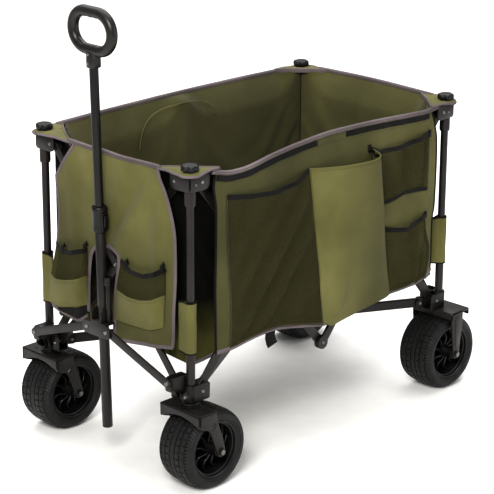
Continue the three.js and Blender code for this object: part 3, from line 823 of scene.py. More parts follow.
# ------------------------------------------------------------------ posts, hubs, lower brackets, knobs
for where, sx, sy in CORNERS:
    front = sx < 0
    # local frame runs inwards from the post
    at = W @ Matrix.Translation((sx * PX, sy * PY, 0)) @ Matrix.Diagonal((-sx, -sy, 1, 1))
    s = Shell()
    s.pipe(206.4, 400, 9.5, 8.8, BRONZE, 48, 0.35, at=at)
    s.lathe([(9.55, 392), (10.3, 392.5), (10.5, 394), (10.5, 399), (10.2, 400.4), (9.0, 400.8), (8.75, 400.4), (8.75, 397), (9.5, 396)], STEEL_BLACK, 48, at=at)
    s.done(f"post_tube_{where}", f"corner_{where}", f"lower_post_{where}")

    s = Shell()
    # upper hub: folded steel cheeks round a core, with sockets for the bars
    for c0, c1 in ((-14, -10.6), (10.6, 14)):
        s.prism([(-10, 690), (-14, 686), (-14, 662), (-10, 657), (30, 656), (38, 658.5), (43, 665), (43, 690)], c0, c1, "y", BRONZE, 0.9, 2, at, 25) if c0 < 0 else \
            s.prism([(12, 690), (12, 657), (30, 656), (38, 658.5), (43, 665), (43, 690)], c0, c1, "y", BRONZE, 0.9, 2, at, 25)
        s.prism([(-10, 690), (-14, 686), (-14, 662), (-10, 657), (32, 656), (40, 658.5), (45, 665), (45, 690)], c0, c1, "x", BRONZE, 0.9, 2, at, 25) if c0 < 0 else \
            s.prism([(12, 690), (12, 657), (32, 656), (40, 658.5), (45, 665), (45, 690)], c0, c1, "x", BRONZE, 0.9, 2, at, 25)
    s.box(-13, 43, -13, 13, 686.5, 690, BRONZE, 0.7, 2, at)
    s.box(-13, 13, -13, 45, 686.5, 689.9, BRONZE, 0.7, 2, at)
    s.box(-12.5, 12.2, -12.5, 12.2, 657, 688, BRONZE, 2.0, 2, at)
    s.lathe([(8.0, 660), (12.0, 660), (12.0, 630), (11.7, 626.5), (11.0, 625), (8.0, 625)], BRONZE, 48, at=at)
    s.pipe(232, 640, 8.5, 7.2, BRONZE, 48, 0.3, at=at)
    s.rod(688, 705, 4, ZINC, 24, 0.5, at=at)
    for y in (-14, ):
        rivet(s, (22, y, 674), "y", -1, 4.2, 1.7, ZINC, at)
        rivet(s, (4, y, 671), "y", -1, 2.6, 1.2, ZINC, at)
    rivet(s, (22, 14, 674), "y", 1, 4.2, 1.7, STEEL_BLACK, at)
    rivet(s, (-14, 32, 674), "x", -1, 4.2, 1.7, ZINC, at)
    rivet(s, (14, 32, 674), "x", 1, 4.2, 1.7, STEEL_BLACK, at)
    s.rod(-13, 13, 3, ZINC, 20, 0.3, "y", (22, 0, 674), at)
    s.rod(-13, 13, 3, ZINC, 20, 0.3, "x", (0, 32, 674), at)
    s.done(f"upper_hub_{where}", f"top_{where}", f"upper_post_{where}")

    # lobed knob with a collar
    s = Shell()
    n = 96
    verts, faces, prof = [], [], [(6.0, 690.8), (9.5, 690.8), (10.2, 692.0), (9.6, 697.6), (14.0, 698.8), (17.6, 699.6), (18.9, 701.4), (19.0, 706.5), (18.4, 709.6), (16.2, 711.6), (12.6, 712.5), (9.0, 711.9), (4.0, 711.6)]
    for j, (r, z) in enumerate(prof):
        for i in range(n):
            th = 2 * math.pi * i / n
            lobe = 1.0 - (0.17 * smooth(12, 17.5, r)) * (0.5 - 0.5 * math.cos(6 * th)) ** 2.2
            verts.append((r * lobe * math.cos(th), r * lobe * math.sin(th), z))
    for j in range(len(prof) - 1):
        for i in range(n):
            faces.append([j * n + i, j * n + (i + 1) % n, (j + 1) * n + (i + 1) % n, (j + 1) * n + i])
    faces.append([i for i in range(n)][::-1])
    faces.append([(len(prof) - 1) * n + i for i in range(n)])
    bm = bmesh.new()
    bv = [bm.verts.new(v) for v in verts]
    for f in faces:
        bm.faces.new([bv[q] for q in f])
    s._bm(bm, PLASTIC, at)
    s.done(f"lobed_knob_{where}", f"top_{where}", f"knob_{where}", sharp=50)

    # lower bracket
    s = Shell()
    s.lathe([(9.9, 200), (13.8, 200), (14.2, 201), (14.2, 233), (13.6, 234), (9.9, 234)], STEEL_BLACK, 48, at=at)
    s.rod(196, 203, 14, STEEL_BLACK, 48, 1.0, at=at)
    for c0, c1 in ((-14, -10.9), (10.9, 14)):
        x0 = -3 if c0 < 0 else 10
        s.prism([(x0, 233), (x0, 197), (6, 196), (38, 196), (43, 199), (43, 230), (39, 234), (12, 234)], c0, c1, "y", STEEL_BLACK, 0.9, 2, at, 25)
        s.prism([(x0, 233), (x0, 197), (6, 196), (40, 196), (45, 199), (45, 230), (41, 234), (12, 234)], c0, c1, "x", STEEL_BLACK, 0.9, 2, at, 25)
    s.box(2, 43, -13, 13, 196, 199.5, STEEL_BLACK, 0.7, 2, at)
    s.box(-13, 13, 2, 45, 196.1, 199.4, STEEL_BLACK, 0.7, 2, at)
    rivet(s, (22, -14, 216), "y", -1, 4.4, 1.8, ZINC, at)
    rivet(s, (22, 14, 216), "y", 1, 4.4, 1.8, STEEL_BLACK, at)
    rivet(s, (-14, 32, 216), "x", -1, 4.4, 1.8, ZINC, at)
    rivet(s, (14, 32, 216), "x", 1, 4.4, 1.8, STEEL_BLACK, at)
    for z in (207, 226):
        rivet(s, (10.2, -10.2, z), "y", -1, 2.6, 1.0, STEEL_BLACK, at)
    s.rod(-13, 13, 3, ZINC, 20, 0.3, "y", (22, 0, 216), at)
    s.rod(-13, 13, 3, ZINC, 20, 0.3, "x", (0, 32, 216), at)
    d = Vector((PX, PY, 0)).normalized()
    diag = at @ Matrix.Rotation(math.atan2(d.y, d.x), 4, "Z")
    for c0, c1 in ((4.8, 8.4), (-9.4, -5.9)):
        s.prism([(12, 198), (52, 198), (58, 202), (60, 209), (58, 216), (52, 221), (12, 221)], c0, c1, "y", STEEL_BLACK, 0.8, 2, diag, 25)
    rivet(s, (48, 8.4, 209), "y", 1, 4.4, 1.7, ZINC, diag)
    rivet(s, (48, -9.4, 209), "y", -1, 4.4, 1.7, ZINC, diag)
    s.rod(-8, 8, 3.4, ZINC, 20, 0.3, "y", (48, 0, 209), diag)
    if front:
        # forward channel that carries the short front bar
        for c0, c1 in ((4, 7.2), (20.8, 24)):
            s.prism([(-4.5, 196.5), (-4.5, 250), (-12, 259), (-45, 259), (-51.5, 254), (-51.5, 238), (-46, 231), (-26, 222), (-14, 197)], c0, c1, "y", STEEL_BLACK, 0.9, 2, at, 25)
        s.prism([(4, 231), (4, 255), (8, 259), (20, 259), (24, 255), (24, 231), (20, 228), (8, 228)], -51.5, -48.0, "x", STEEL_BLACK, 0.8, 2, at, 25)
        s.box(-46, -6, 4.6, 23.4, 255.6, 259, STEEL_BLACK, 0.8, 2, at)
        s.rod(-58.4, -48, 3, ZINC, 20, 0.3, "x", (0, 14, 248), at)
        rivet(s, (-58.2, 14, 248), "x", -1, 4.6, 1.8, ZINC, at)
        s.prism([(-16, 198), (-30, 205), (-34, 214), (-30, 223), (-22, 226), (-12, 214), (-6, 204), (-6, 198)], -9, -5.5, "y", STEEL_BLACK, 0.8, 2, at, 25)
        rivet(s, (-25, -9, 214), "y", -1, 4.6, 1.8, ZINC, at)
    s.done(f"lower_corner_bracket_{where}", f"corner_{where}", f"bracket_{where}")


# ------------------------------------------------------------------ scissor bars
def bar(s, start, u, n, length, half=9.0, thick=7.0, z0=0.0, mat=None, pins=(), holes=()):
    """A flattened tube with round ends: local x along it, z across its thickness. Rivets stand on its outer (-z) face."""
    at = frame_at(start, u, n)
    mat = mat or BRONZE
    out = []
    for i in range(13):
        a = math.pi / 2 + math.pi * i / 12
        out.append((half * math.cos(a), half * math.sin(a)))
    for i in range(13):
        a = -math.pi / 2 + math.pi * i / 12
        out.append((length + half * math.cos(a), half * math.sin(a)))
    bm = bmesh.new()
    t0, t1 = z0 - thick / 2, z0 + thick / 2
    lo = [bm.verts.new((a, b, t0)) for a, b in out]
    hi = [bm.verts.new((a, b, t1)) for a, b in out]
    m = len(out)
    bm.faces.new(lo)
    bm.faces.new(hi[::-1])
    for i in range(m):
        bm.faces.new((lo[i], hi[i], hi[(i + 1) % m], lo[(i + 1) % m]))
    s._bm(bm, mat, at, 1.7, 3, 50)
    for d in pins:
        rivet(s, (d, 0, t0), "z", -1, 5.0, 1.8, ZINC, at)
        rivet(s, (d, 0, t1), "z", 1, 4.6, 0.9, STEEL_BLACK, at)
    for d in holes:
        s.lathe([(5.2, t0 - 0.35), (7.2, t0 - 0.35), (7.4, t0 + 0.2), (5.0, t0 + 0.2)], STEEL_BLACK, 24, "z", (d, 0, 0), at)
    return at


xs, ys = -PX + 22, -PY + 32
for side, y, ny in (("left", -PY, 1), ("right", PY, -1)):
    inner = y + ny * 6
    n = (0, ny, 0)
    for end, x0 in (("front", xs), ("rear", xs + SPAN)):
        s = Shell()
        atr = bar(s, (x0, y, ZL), (SPAN, 0, RISE), n, LINK, half=10.4, z0=-1.0, pins=(LINK / 2,), thick=6.6)
        middle = LINK if end == "front" else 0
        s.lathe([(0, -4.2), (14.6, -4.2), (15.4, -3.4), (15.4, 1.4), (14.6, 2.2), (0, 2.2)], BRONZE, 40, "z", (middle, 0, 0), atr)
        s.done(f"side_bar_{side}_{end}_rising", f"side_{side}_{end}_rising", f"side_link_{side}_{end}_rising")
        s = Shell()
        bar(s, (x0, inner, ZT), (SPAN, 0, -RISE), n, LINK, half=10.4, z0=1.0, thick=6.6)
        atm = frame_at((x0, inner, ZT), (SPAN, 0, -RISE), n)
        for d in (0, LINK):
            if end == "front" and d == LINK or end == "rear" and d == 0:
                s.lathe([(0, -2.2), (14.6, -2.2), (15.4, -1.4), (15.4, 3.4), (14.6, 4.2), (0, 4.2)], BRONZE, 40, "z", (d, 0, 0), atm)
                s.rod(-9.5, 1, 4.6, ZINC, 24, 0.6, "z", (d, 0, 0), atm)
                rivet(s, (d, 0, -10.3), "z", -1, 4.0, 1.6, ZINC, atm)
        s.done(f"side_bar_{side}_{end}_falling", f"side_{side}_{end}_falling", f"side_link_{side}_{end}_falling")
for end, x, nx in (("front", -PX, 1), ("rear", PX, -1)):
    n = (nx, 0, 0)
    s = Shell()
    bar(s, (x, ys, ZL), (0, SPAN, RISE), n, LINK, z0=-1.0, pins=(LINK / 2,), thick=6.6)
    s.done(f"end_bar_{end}_rising", f"end_{end}_rising", f"end_link_{end}_rising")
    s = Shell()
    bar(s, (x + nx * 6, ys, ZT), (0, SPAN, -RISE), n, LINK, z0=1.0, thick=6.6)
    s.done(f"end_bar_{end}_falling", f"end_{end}_falling", f"end_link_{end}_falling")

dd = Vector((PX, PY, 0)).normalized()
for where, sx, sy in CORNERS:
    s = Shell()
    start = (sx * (PX - 48 * dd.x), sy * (PY - 48 * dd.y), 209)
    bar(s, start, (-sx * dd.x, -sy * dd.y, 0), (-sy * dd.y, sx * dd.x, 0), 336, half=11, thick=8.0, pins=(326,))
    s.done(f"base_bar_{where}", f"base_{where}", f"base_link_{where}")
s = Shell()
s.lathe([(0, 196), (40, 196), (44, 197.5), (45, 200), (45, 203), (43.5, 205.4), (40, 206), (20, 206), (17, 208), (16, 211), (14.5, 212), (0, 212)], STEEL_BLACK, 64)
s.lathe([(0, 190), (14, 190), (16, 191.5), (16, 197), (0, 197)], STEEL_BLACK, 48)
for k in range(8):
    t = math.pi * k / 4 + 0.39
    rivet(s, (33 * math.cos(t), 33 * math.sin(t), 206), "z", 1, 3.4, 1.4, ZINC)
for _, sx, sy in CORNERS:
    bar(s, (sx * 30 * dd.x, sy * 30 * dd.y, 208.5), (sx * dd.x, sy * dd.y, 0), (-sy * dd.y, sx * dd.x, 0), 26.5, half=7.5, thick=5.0, mat=STEEL_BLACK)
s.done("base_hub_disc", "base_hub_body", "base_hub")

# ------------------------------------------------------------------ short front bars, handle plate, stop post
VX, VY, VZ, PLY, PLZ = -463.2, 211.0, 248.0, 30.0, 313.0
vlen = math.hypot(VY - PLY, PLZ - VZ)
for side, sy in (("left", -1), ("right", 1)):
    s = Shell()
    bar(s, (VX, sy * VY, VZ), (0, -sy * (VY - PLY), PLZ - VZ), (1, 0, 0), vlen, half=9.5, thick=6.0, z0=0.0, pins=(0.0,))
    s.done(f"front_bar_{side}", f"front_strut_{side}_body", f"front_strut_{side}")
s = Shell()
s.prism([(-43, 304), (-36, 298), (36, 298), (43, 304), (43, 322), (36, 328), (16, 328), (16, 334), (-16, 334), (-16, 328), (-36, 328), (-43, 322)], -470.6, -466.6, "x", BRONZE, 1.0, 2)
for y0, y1 in ((12.5, 16.2), (-16.2, -12.5)):
    s.prism([(-470, 328), (-437, 328), (-435, 336), (-436, 352), (-442, 358), (-462, 358), (-470, 350)], y0, y1, "y", BRONZE, 0.8, 2)
s.box(-470, -443, -30, -14, 325.6, 330, BRONZE, 0.7)
for y, o in ((16.2, 1), (-16.2, -1)):
    rivet(s, (-448, y, 345), "y", o, 5.2, 1.8, ZINC)
for y0, y1 in ((-16, -12.3), (12.3, 16)):
    s.rod(y0, y1, 3.4, ZINC, 20, 0.3, "y", (-448, 0, 345))
for y in (-PLY, PLY):
    rivet(s, (-470.6, y, PLZ), "x", -1, 5.0, 1.8, ZINC)
    s.rod(-468, -459.6, 3.0, ZINC, 20, 0.3, "x", (0, y, PLZ))
s.done("handle_pivot_plate", "handle_plate_body", "handle_plate")
s = Shell()
s.rod(330.3, 424, 6.0, STEEL_BLACK, 32, 0.8, c=(-452, -22.6, 0))
s.lathe([(0, 414), (8.0, 414), (8.6, 415.2), (8.6, 420), (7.4, 423.6), (8.2, 426), (8.4, 430), (7.4, 432.2), (0, 432.8)], STEEL_BLACK, 40, c=(-452, -22.6, 0))
s.done("stop_post", "handle_plate_body", "handle_stop_post")

# ------------------------------------------------------------------ handle
LEAN = 0.02538
H = W @ Matrix.Translation((-448, 0, 345)) @ Matrix.Rotation(-LEAN, 4, "Y")
s = Shell()
s.lathe([(10.1, -264), (11.0, -264), (11.3, -263.6), (11.3, 229.6), (11.0, 230), (10.1, 230)], BRONZE, 56, at=H)
s.done("handle_outer_tube", "handle", "handle_lower_tube")
s = Shell()
s.lathe([(8.6, 150), (9.5, 150), (9.75, 150.3), (9.75, 560), (8.6, 560)], TUBE_BLACK, 56, at=H)
for z in (255, 300, 345, 390, 435):
    s.lathe([(0, -9.6), (0, -9.95), (2.6, -9.95), (3.0, -9.5)], ZINC, 20, "y", (0, 0, z), H) if False else None
s.done("handle_inner_tube", "handle_top", "handle_upper_tube")
s = Shell()
s.lathe([(11.5, 184.8), (14.6, 184.8), (15.6, 186), (15.8, 190), (15.4, 196), (15.4, 226), (16.4, 230), (16.9, 234), (16.6, 237.6), (15.4, 239.4), (12.4, 240.2), (10.15, 240.2), (10.15, 231), (11.5, 230.6)], STEEL_BLACK, 64, at=H)
s.prism([(-8, 193), (-6, 191.5), (6, 191.5), (8, 193), (8, 197), (-8, 197)], -18.6, -11, "y", STEEL_BLACK, 0.7, 2, H)
s.prism([(-8, 223.2), (8, 223.2), (8, 227), (6, 228.8), (-6, 228.8), (-8, 227)], -18.6, -11, "y", STEEL_BLACK, 0.7, 2, H)
for x0, x1 in ((-8, -5.8), (5.8, 8)):
    s.box(x0, x1, -18.5, -11, 195, 225, STEEL_BLACK, 0.5, 2, H)
s.box(-6.5, 6.5, -14.1, -12, 196, 224, STEEL_BLACK, 0.3, 1, H)
s.done("telescope_clamp", "handle", "handle_collar")
s = Shell()
s.box(-5.3, 5.3, -21.3, -18.1, 197.6, 222.4, PLASTIC, 1.3, 3, H)
for z in (202.5, 206.3, 210.1, 213.9, 217.7):
    s.box(-4.0, 4.0, -21.9, -20.6, z - 0.8, z + 0.8, PLASTIC, 0.5, 2, H)
s.done("press_button", "handle_button_body", "handle_button")

# grip: a stadium ring across the wagon, with finger grooves under its top bar and a flared neck
s = Shell()
RW, RH = 118.0, 79.0
r0, c0 = RH / 2, RW / 2 - RH / 2
centre = []
NS = 160
per = 4 * c0 + 2 * math.pi * r0
for i in range(NS):
    d = per * i / NS
    if d < 2 * c0:
        centre.append((c0 - d, r0, 90.0))
    elif d < 2 * c0 + math.pi * r0:
        a = math.pi / 2 + (d - 2 * c0) / r0
        centre.append((-c0 + r0 * math.cos(a), r0 * math.sin(a), math.degrees(a)))
    elif d < 4 * c0 + math.pi * r0:
        centre.append((-c0 + (d - 2 * c0 - math.pi * r0), -r0, 270.0))
    else:
        a = -math.pi / 2 + (d - 4 * c0 - math.pi * r0) / r0
        centre.append((c0 + r0 * math.cos(a), r0 * math.sin(a), math.degrees(a)))
verts, faces, NK = [], [], 32
for i, (y, z, a) in enumerate(centre):
    out = Vector((0, math.cos(math.radians(a)), math.sin(math.radians(a))))
    for k in range(NK):
        t = 2 * math.pi * k / NK
        ro, rx = 12.0, 12.0
        g = 0.0
        if z > 0 and abs(y) < 36:
            # finger waves on the inner face of the top bar
            g = 1.1 * (0.5 - 0.5 * math.cos(2 * math.pi * y / 18.0)) * smooth(36, 28, abs(y)) * max(0, -math.cos(t)) ** 2
        if z < 0 and math.cos(t) < -0.2:
            g = 0.9 * smooth(-0.2, -0.8, math.cos(t)) * smooth(40, 26, abs(y))
        co = out * ((ro - g) * math.cos(t)) + Vector((1, 0, 0)) * (rx * math.sin(t))
        verts.append((co.x, y + co.y, 615 + z + co.z))
for i in range(NS):
    j = (i + 1) % NS
    for k in range(NK):
        faces.append([i * NK + k, j * NK + k, j * NK + (k + 1) % NK, i * NK + (k + 1) % NK])
bm = bmesh.new()
bv = [bm.verts.new(v) for v in verts]
for f in faces:
    bm.faces.new([bv[q] for q in f])
s._bm(bm, GRIP, H)
# neck, lofted from a rounded square up into the ring
prof = [(539.0, 12.6, 12.6, 0.55), (540.2, 13.6, 13.6, 0.5), (552, 13.9, 13.7, 0.5), (562, 14.4, 13.0, 0.45), (568, 16.5, 12.4, 0.4), (573, 21.0, 11.8, 0.35), (577, 28.0, 10.8, 0.3), (580, 34.0, 8.8, 0.25)]
verts, faces, NK = [], [], 48
for z, hy, hx, e in prof:
    for k in range(NK):
        t = 2 * math.pi * k / NK
        c, q = math.cos(t), math.sin(t)
        verts.append((hx * math.copysign(abs(c) ** (1 - e * 0.6), c), hy * math.copysign(abs(q) ** (1 - e * 0.6), q), z))
for j in range(len(prof) - 1):
    for k in range(NK):
        faces.append([j * NK + k, j * NK + (k + 1) % NK, (j + 1) * NK + (k + 1) % NK, (j + 1) * NK + k])
faces.append(list(range(NK))[::-1])
faces.append([(len(prof) - 1) * NK + k for k in range(NK)])
bm = bmesh.new()
bv = [bm.verts.new(v) for v in verts]
for f in faces:
    bm.faces.new([bv[q] for q in f])
s._bm(bm, GRIP, H)
for z in (549, 567):
    rivet(s, (-13.4 if z < 560 else -12.6, 3.0, z), "x", -1, 3.0, 1.2, ZINC, H)
s.rod(-12.6, -11.2, 2.0, STEEL_BLACK, 16, 0.3, "x", (0, 12.0, 657.0), H)
s.rod(-12.6, -11.0, 1.7, ZINC, 16, 0.3, "x", (0, -56.0, 622.0), H)
s.done("handle_ring_grip", "handle_top", "handle_grip", sharp=55)

# ------------------------------------------------------------------ fabric: shared curves (x, z) and (y, z)
RIM_NEAR = curve([(-408, 694), (-372, 693), (-345, 686), (-318, 679), (-290, 676.5), (-250, 677.5), (-190, 687), (-130, 694), (-68, 699), (-11, 702), (60, 701), (130, 698.5), (194, 695), (270, 690), (326, 688), (365, 692), (408, 694)])
RIM_FAR = curve([(-408, 694), (-340, 696), (-200, 698), (0, 699), (200, 697), (340, 694), (408, 694)])
RIM_FRONT = curve([(-225, 694), (-150, 696), (-100, 695), (-38, 693.5), (17, 696), (55, 695), (112, 697), (170, 697), (225, 694)])
RIM_REAR = curve([(-225, 694), (-150, 696), (0, 699), (150, 697), (225, 694)])
SIDE_Y, FRONT_X, REAR_X = 241.0, -428.0, 421.5
TUB_X, TUB_Y, TUB_Z = 390.0, 208.0, 288.0


def anchors(side):
    """(body, axis, anchor) of a fabric piece on that side, for folding."""
    return {
        "near": ("top_front_left", (1, 0, 0), P(-PX, -PY, 400), 0.337),
        "far": ("top_front_right", (1, 0, 0), P(-PX, PY, 400), 0.337),
        "front": ("top_front_left", (0, 1, 0), P(-PX, -PY, 400), 0.399),
        "rear": ("top_rear_left", (0, 1, 0), P(PX, -PY, 400), 0.399),
    }[side]


def folds(o, side):
    body, axis, anchor, keep = anchors(side)
    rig.ride(o, body)
    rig.squash(o, "frame_fold", axis=axis, anchor=tuple(anchor), keep=keep)
    return o


def inside(poly, a, b):
    c = False
    for i in range(len(poly)):
        (x0, y0), (x1, y1) = poly[i - 1], poly[i]
        if (y0 > b) != (y1 > b) and a < (x1 - x0) * (b - y0) / (y1 - y0) + x0:
            c = not c
    return c


def nearest(poly, a, b, closed=True):
    best, at = 1e18, None
    for i in range(len(poly) if closed else len(poly) - 1):
        p, q = Vector(poly[i]), Vector(poly[(i + 1) % len(poly)])
        d = q - p
        t = max(0, min(1, (Vector((a, b)) - p).dot(d) / max(1e-9, d.length_squared)))
        r = p + d * t
        e = (r - Vector((a, b))).length_squared
        if e < best:
            best, at = e, r
    return at


def rounded(pts, r=8.0, n=4):
    """Polygon with its corners rounded."""
    out = []
    m = len(pts)
    for i in range(m):
        a, b, c = Vector(pts[i - 1]), Vector(pts[i]), Vector(pts[(i + 1) % m])
        u, v = a - b, c - b
        k = min(r, u.length * 0.4, v.length * 0.4)
        s0, s1 = b + u.normalized() * k, b + v.normalized() * k
        for j in range(n + 1):
            t = j / n
            out.append(tuple(s0 * (1 - t) ** 2 + b * 2 * t * (1 - t) + s1 * t * t))
    return out


def dense(pts, step, closed=True):
    out = []
    m = len(pts)
    for i in range(m if closed else m - 1):
        a, b = Vector(pts[i]), Vector(pts[(i + 1) % m])
        k = max(1, int((b - a).length / step))
        out += [tuple(a.lerp(b, j / k)) for j in range(k)]
    if not closed:
        out.append(tuple(pts[-1]))
    return out


def cloth_panel(name, outline, step, place, mat, thick=1.4, side=None, body=None, subdiv=1):
    """A sheet filling the outline (a, b). place(a, b) gives its point in millimetres. Its edge is snapped to the outline."""
    xs_ = [p[0] for p in outline]
    zs_ = [p[1] for p in outline]
    na, nb = int((max(xs_) - min(xs_)) / step) + 2, int((max(zs_) - min(zs_)) / step) + 2
    a0, b0 = min(xs_) - step * 0.5, min(zs_) - step * 0.5
    bm = bmesh.new()
    pt = {}
    for i in range(na + 1):
        for j in range(nb + 1):
            pt[i, j] = (a0 + i * step, b0 + j * step)
    verts = {}

    def vert(i, j):
        if (i, j) not in verts:
            verts[i, j] = bm.verts.new((pt[i, j][0], pt[i, j][1], 0))
        return verts[i, j]
    for i in range(na):
        for j in range(nb):
            ca, cb = pt[i, j][0] + step / 2, pt[i, j][1] + step / 2
            if inside(outline, ca, cb):
                bm.faces.new((vert(i, j), vert(i + 1, j), vert(i + 1, j + 1), vert(i, j + 1)))
    edge = {v for e in bm.edges if len(e.link_faces) == 1 for v in e.verts}
    for v in edge:
        q = nearest(outline, v.co.x, v.co.y)
        v.co.x, v.co.y = q
    inner = [v for v in bm.verts if v not in edge]
    for _ in range(3):
        new = {}
        for v in inner:
            if any(e.other_vert(v) in edge for e in v.link_edges):
                s_ = Vector((0, 0, 0))
                for e in v.link_edges:
                    s_ += e.other_vert(v).co
                new[v] = v.co.lerp(s_ / len(v.link_edges), 0.6)
        for v, c in new.items():
            v.co = c
    bmesh.ops.dissolve_degenerate(bm, dist=1e-4, edges=bm.edges)
    for v in bm.verts:
        v.co = P(*place(v.co.x, v.co.y))
    for f in bm.faces:
        f.smooth = True
    me = bpy.data.meshes.new(name)
    bm.to_mesh(me)
    bm.free()
    me.materials.append(mat)
    o = bpy.data.objects.new(name, me)
    scene.collection.objects.link(o)
    sol = o.modifiers.new("thickness", "SOLIDIFY")
    sol.thickness = thick / 1000
    sol.offset = 0
    if subdiv:
        s_ = o.modifiers.new("subdivision", "SUBSURF")
        s_.levels = s_.render_levels = subdiv
    if body:
        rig.ride(o, body)
    if side:
        folds(o, side)
    if mat.name in SLOTS:
        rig.slot(o, SLOTS[mat.name])
    return o


def surface(name, f, nu, nv, mat, thick=1.4, side=None, body=None, subdiv=1, closed=False):
    """A sheet from f(u, v) in millimetres, u and v from 0 to 1."""
    verts = [P(*f(i / nu, j / nv)) for j in range(nv + 1) for i in range(nu + (0 if closed else 1))]
    k = nu + (0 if closed else 1)
    faces = [[j * k + i, j * k + (i + 1) % k, (j + 1) * k + (i + 1) % k, (j + 1) * k + i] for j in range(nv) for i in range(nu)]
    me = bpy.data.meshes.new(name)
    me.from_pydata([tuple(v) for v in verts], [], faces)
    me.polygons.foreach_set("use_smooth", [True] * len(me.polygons))
    me.materials.append(mat)
    o = bpy.data.objects.new(name, me)
    scene.collection.objects.link(o)
    if thick:
        sol = o.modifiers.new("thickness", "SOLIDIFY")
        sol.thickness = thick / 1000
        sol.offset = 0
    if subdiv:
        s_ = o.modifiers.new("subdivision", "SUBSURF")
        s_.levels = s_.render_levels = subdiv
    if body:
        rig.ride(o, body)
    if side:
        folds(o, side)
    if mat.name in SLOTS:
        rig.slot(o, SLOTS[mat.name])
    return o


def tape(s, pts, normal, width=9.0, thick=3.0, mat=None, closed=False, shift=0.0):
    """A folded tape sewn over an edge: a soft flattened section along pts."""
    s.sweep([tuple(p) for p in pts], round_rect(width, thick, thick * 0.45, 3), mat or BINDING, normal, closed)


def net(name, f, width, height, side=None, body=None, pitch=6.0, yarn=1.75, keep=None):
    """A diamond mesh of real yarns on the surface f(u, v)."""
    nu, nv = max(2, int(round(width / pitch))), max(2, int(round(height / pitch)))
    bm = bmesh.new()
    grid, mid = {}, {}
    for j in range(nv + 1):
        for i in range(nu + 1):
            grid[i, j] = bm.verts.new(P(*f(i / nu, j / nv)))
    for j in range(nv):
        for i in range(nu):
            mid[i, j] = bm.verts.new(P(*f((i + 0.5) / nu, (j + 0.5) / nv)))
    for j in range(nv):
        for i in range(nu + 1):
            lo_, hi_ = grid[i, j], grid[i, j + 1]
            a, b = mid.get((i - 1, j)), mid.get((i, j))
            if a and b:
                bm.faces.new((a, lo_, b, hi_))
            elif b:
                bm.faces.new((lo_, b, hi_))
            elif a:
                bm.faces.new((a, lo_, hi_))
    for i in range(nu):
        for j in range(nv + 1):
            l, r = grid[i, j], grid[i + 1, j]
            a, b = mid.get((i, j - 1)), mid.get((i, j))
            bm.faces.new([x for x in (l, a, r, b) if x])
    me = bpy.data.meshes.new(name)
    bm.to_mesh(me)
    bm.free()
    me.materials.append(NET)
    me.polygons.foreach_set("use_smooth", [True] * len(me.polygons))
    o = bpy.data.objects.new(name, me)
    scene.collection.objects.link(o)
    w = o.modifiers.new("yarns", "WIREFRAME")
    w.thickness = yarn / 1000
    w.use_even_offset = False
    w.use_boundary = True
    if body:
        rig.ride(o, body)
    if side:
        folds(o, side)
    return o


# ------------------------------------------------------------------ fabric: the hung tub, one lofted shell, sagged by cloth simulation and then parted along its seams
def recess(y, z):
    """How far the front wall steps back round the handle's lower end."""
    return 38.5 * smooth(-66, -38, y) * smooth(84, 56, y) * smooth(508, 466, z)


def tub_wall(which, u, v):
    """u along the wall from -1 to 1, v up it from 0 to 1. Also gives the depth below the rim."""
    if which in ("near", "far"):
        sy = -1 if which == "near" else 1
        x = u * TUB_X
        top = (RIM_NEAR if sy < 0 else RIM_FAR)(u * 408) - 1.5 + 4.5 * smooth(336, 376, abs(x))
        z = lerp(286 - 18 * smooth(190, 388, abs(x)), top, v)
        h = top - z
        lean = 10 + 56 * smooth(0, 72, abs(x)) * smooth(386, 314, abs(x))
        flare = max(0.0, 1 - h / lean) ** 1.3 * smooth(364, 334, abs(x))
        return [x, sy * lerp(TUB_Y, 238.0, flare), z, h]
    sx = -1 if which == "front" else 1
    y = u * TUB_Y
    top = (RIM_FRONT if sx < 0 else RIM_REAR)(u * 225) - 1.5 + 4.5 * smooth(156, 196, abs(y))
    foot = 276 - 8 * smooth(70, 207, abs(y))
    if sx < 0:
        foot += 16 * smooth(-66, -38, y) * smooth(84, 56, y)
    z = lerp(foot, top, v)
    h = top - z
    lean = 10 + 56 * smooth(202, 130, abs(y))
    flare = max(0.0, 1 - h / lean) ** 1.3 * smooth(182, 150, abs(y))
    x = sx * lerp(TUB_X, 425.0 if sx < 0 else 418.5, flare)
    if sx < 0:
        x += recess(y, z)
    return [x, y, z, h]


